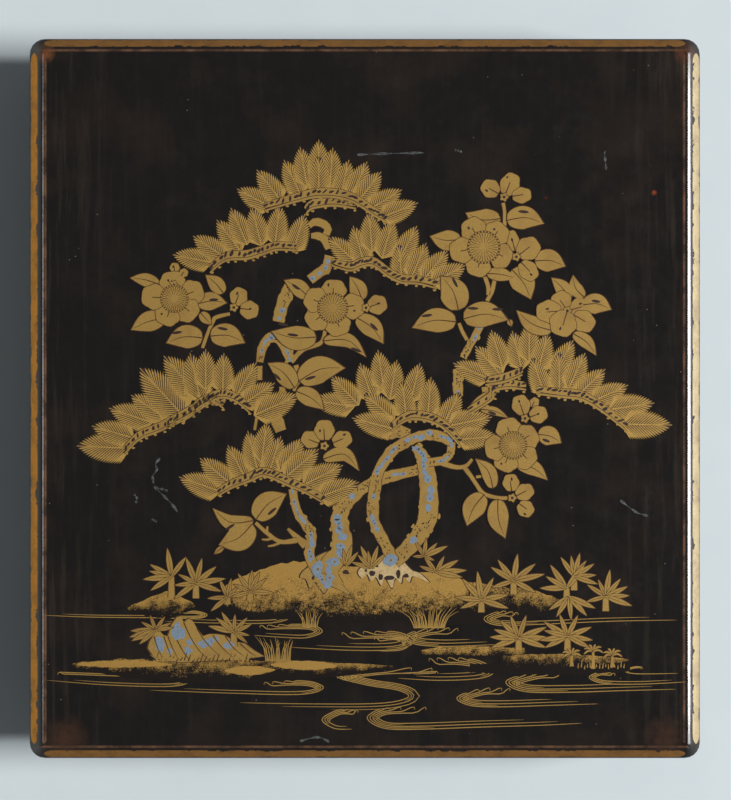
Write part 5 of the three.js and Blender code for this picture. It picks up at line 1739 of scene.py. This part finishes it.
# The paper knife
# A one-sided blade of polished steel in an oval red handle, with a gilt collar and a hollow sheath.
# The blade is its own CAD solid.
KNIFE_LANE = 67.25
polished_steel, tree, shader, place = finish("polished_steel", {"Metallic": 1})
lengthwise = add(tree, "VectorMath", place, (1, 0.08, 1), operation="MULTIPLY")
scour = add(tree, "TexNoise", lengthwise, 1 / 0.3, 4)
bright = add(tree, "Mix", scour, linear("#8E9296"), linear("#B9BDC0"), data_type="RGBA")
tree.links.new(bright, shader.inputs["Base Color"])
steel_rough = add(tree, "MapRange", scour, 0, 1, 0.22, 0.4)
tree.links.new(steel_rough, shader.inputs["Roughness"])
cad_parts["knife_blade"].material_slots[0].material = polished_steel
KNIFE_PARTS = (
    (
        "knife_red_sheath", "knife_sheath", "knife_sheath", worn_red_lacquer, "red_lacquer",
        (
            (-100, 4.4, 2.9), (-99.7, 5.1, 3.5), (-98.8, 5.6, 3.9), (-97.8, 5.7, 4), (-18.7, 5.7, 4),
            (-18.35, 5.6, 3.9), (-18.2, 5.4, 3.7), (-18.2, 4.2, 1.3), (-90, 4.2, 1.3),
        ),
    ),
    (
        "knife_red_handle", "knife", "knife_handle", worn_red_lacquer, "red_lacquer",
        (
            (-12, 5.5, 3.8), (-11.6, 5.7, 4), (6, 5.55, 3.9), (24, 5.45, 3.85), (42, 5.55, 3.9),
            (58, 5.7, 4), (60.5, 5.5, 3.8), (61.6, 5, 3.3), (62, 4.3, 2.7),
        ),
    ),
    (
        "knife_gilt_collar", "knife", "knife_collar", fire_gilt_copper, "gilt_copper",
        (
            (-18, 5.1, 3.4), (-17.6, 5.4, 3.7), (-15.3, 5.4, 3.7), (-15, 5.2, 3.5), (-14.7, 5.4, 3.7),
            (-12.3, 5.4, 3.7), (-12, 5.3, 3.6),
        ),
    ),
)
for name, body, replaced, material, slot, sections in KNIFE_PARTS:
    bm = bmesh.new()
    sleeve(bm, sections, KNIFE_LANE)
    piece(name, bm, [material], body, [replaced])

# The awl
# A steel needle in a waisted red handle, with a turned sheath.
AWL_LANE = 80.25
AWL_PARTS = (
    (
        "awl_red_sheath", "awl_sheath", "awl_sheath", worn_red_lacquer, "red_lacquer",
        (
            (-100, 3), (-99.6, 3.7), (-98.5, 4.3), (-97.6, 4.4), (-42.7, 4.4), (-42.3, 4.3),
            (-42.2, 4.1), (-42.2, 1.8), (-89, 1.8),
        ),
    ),
    (
        "awl_red_handle", "awl", "awl_handle", worn_red_lacquer, "red_lacquer",
        (
            (-42, 3.9), (-41.8, 4), (-37.2, 4), (-36.6, 4.15), (-36, 4.4), (-25, 4.15), (-10, 3.95),
            (5.5, 3.9), (25, 4.1), (45, 4.4), (50, 4.2), (52, 3.5), (53, 2.4),
        ),
    ),
    (
        "awl_steel_needle", "awl", "awl_needle", polished_steel, "steel",
        ((-86, 0.03), (-80, 0.3), (-68.4, 0.78), (-50.8, 1.3), (-42, 1.3)),
    ),
)
for name, body, replaced, material, slot, sections in AWL_PARTS:
    bm = bmesh.new()
    sleeve(bm, sections, AWL_LANE)
    piece(name, bm, [material], body, [replaced])

# The ink stick
# Soot and glue pressed in a mould, rubbed slanting at one end. It is its own CAD solid.
pressed_ink = mottled("pressed_ink", {"IOR": 1.45}, 2.5, 6, "#16161A", "#2A292C", (0.4, 0.7))
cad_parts["ink_stick"].material_slots[0].material = pressed_ink
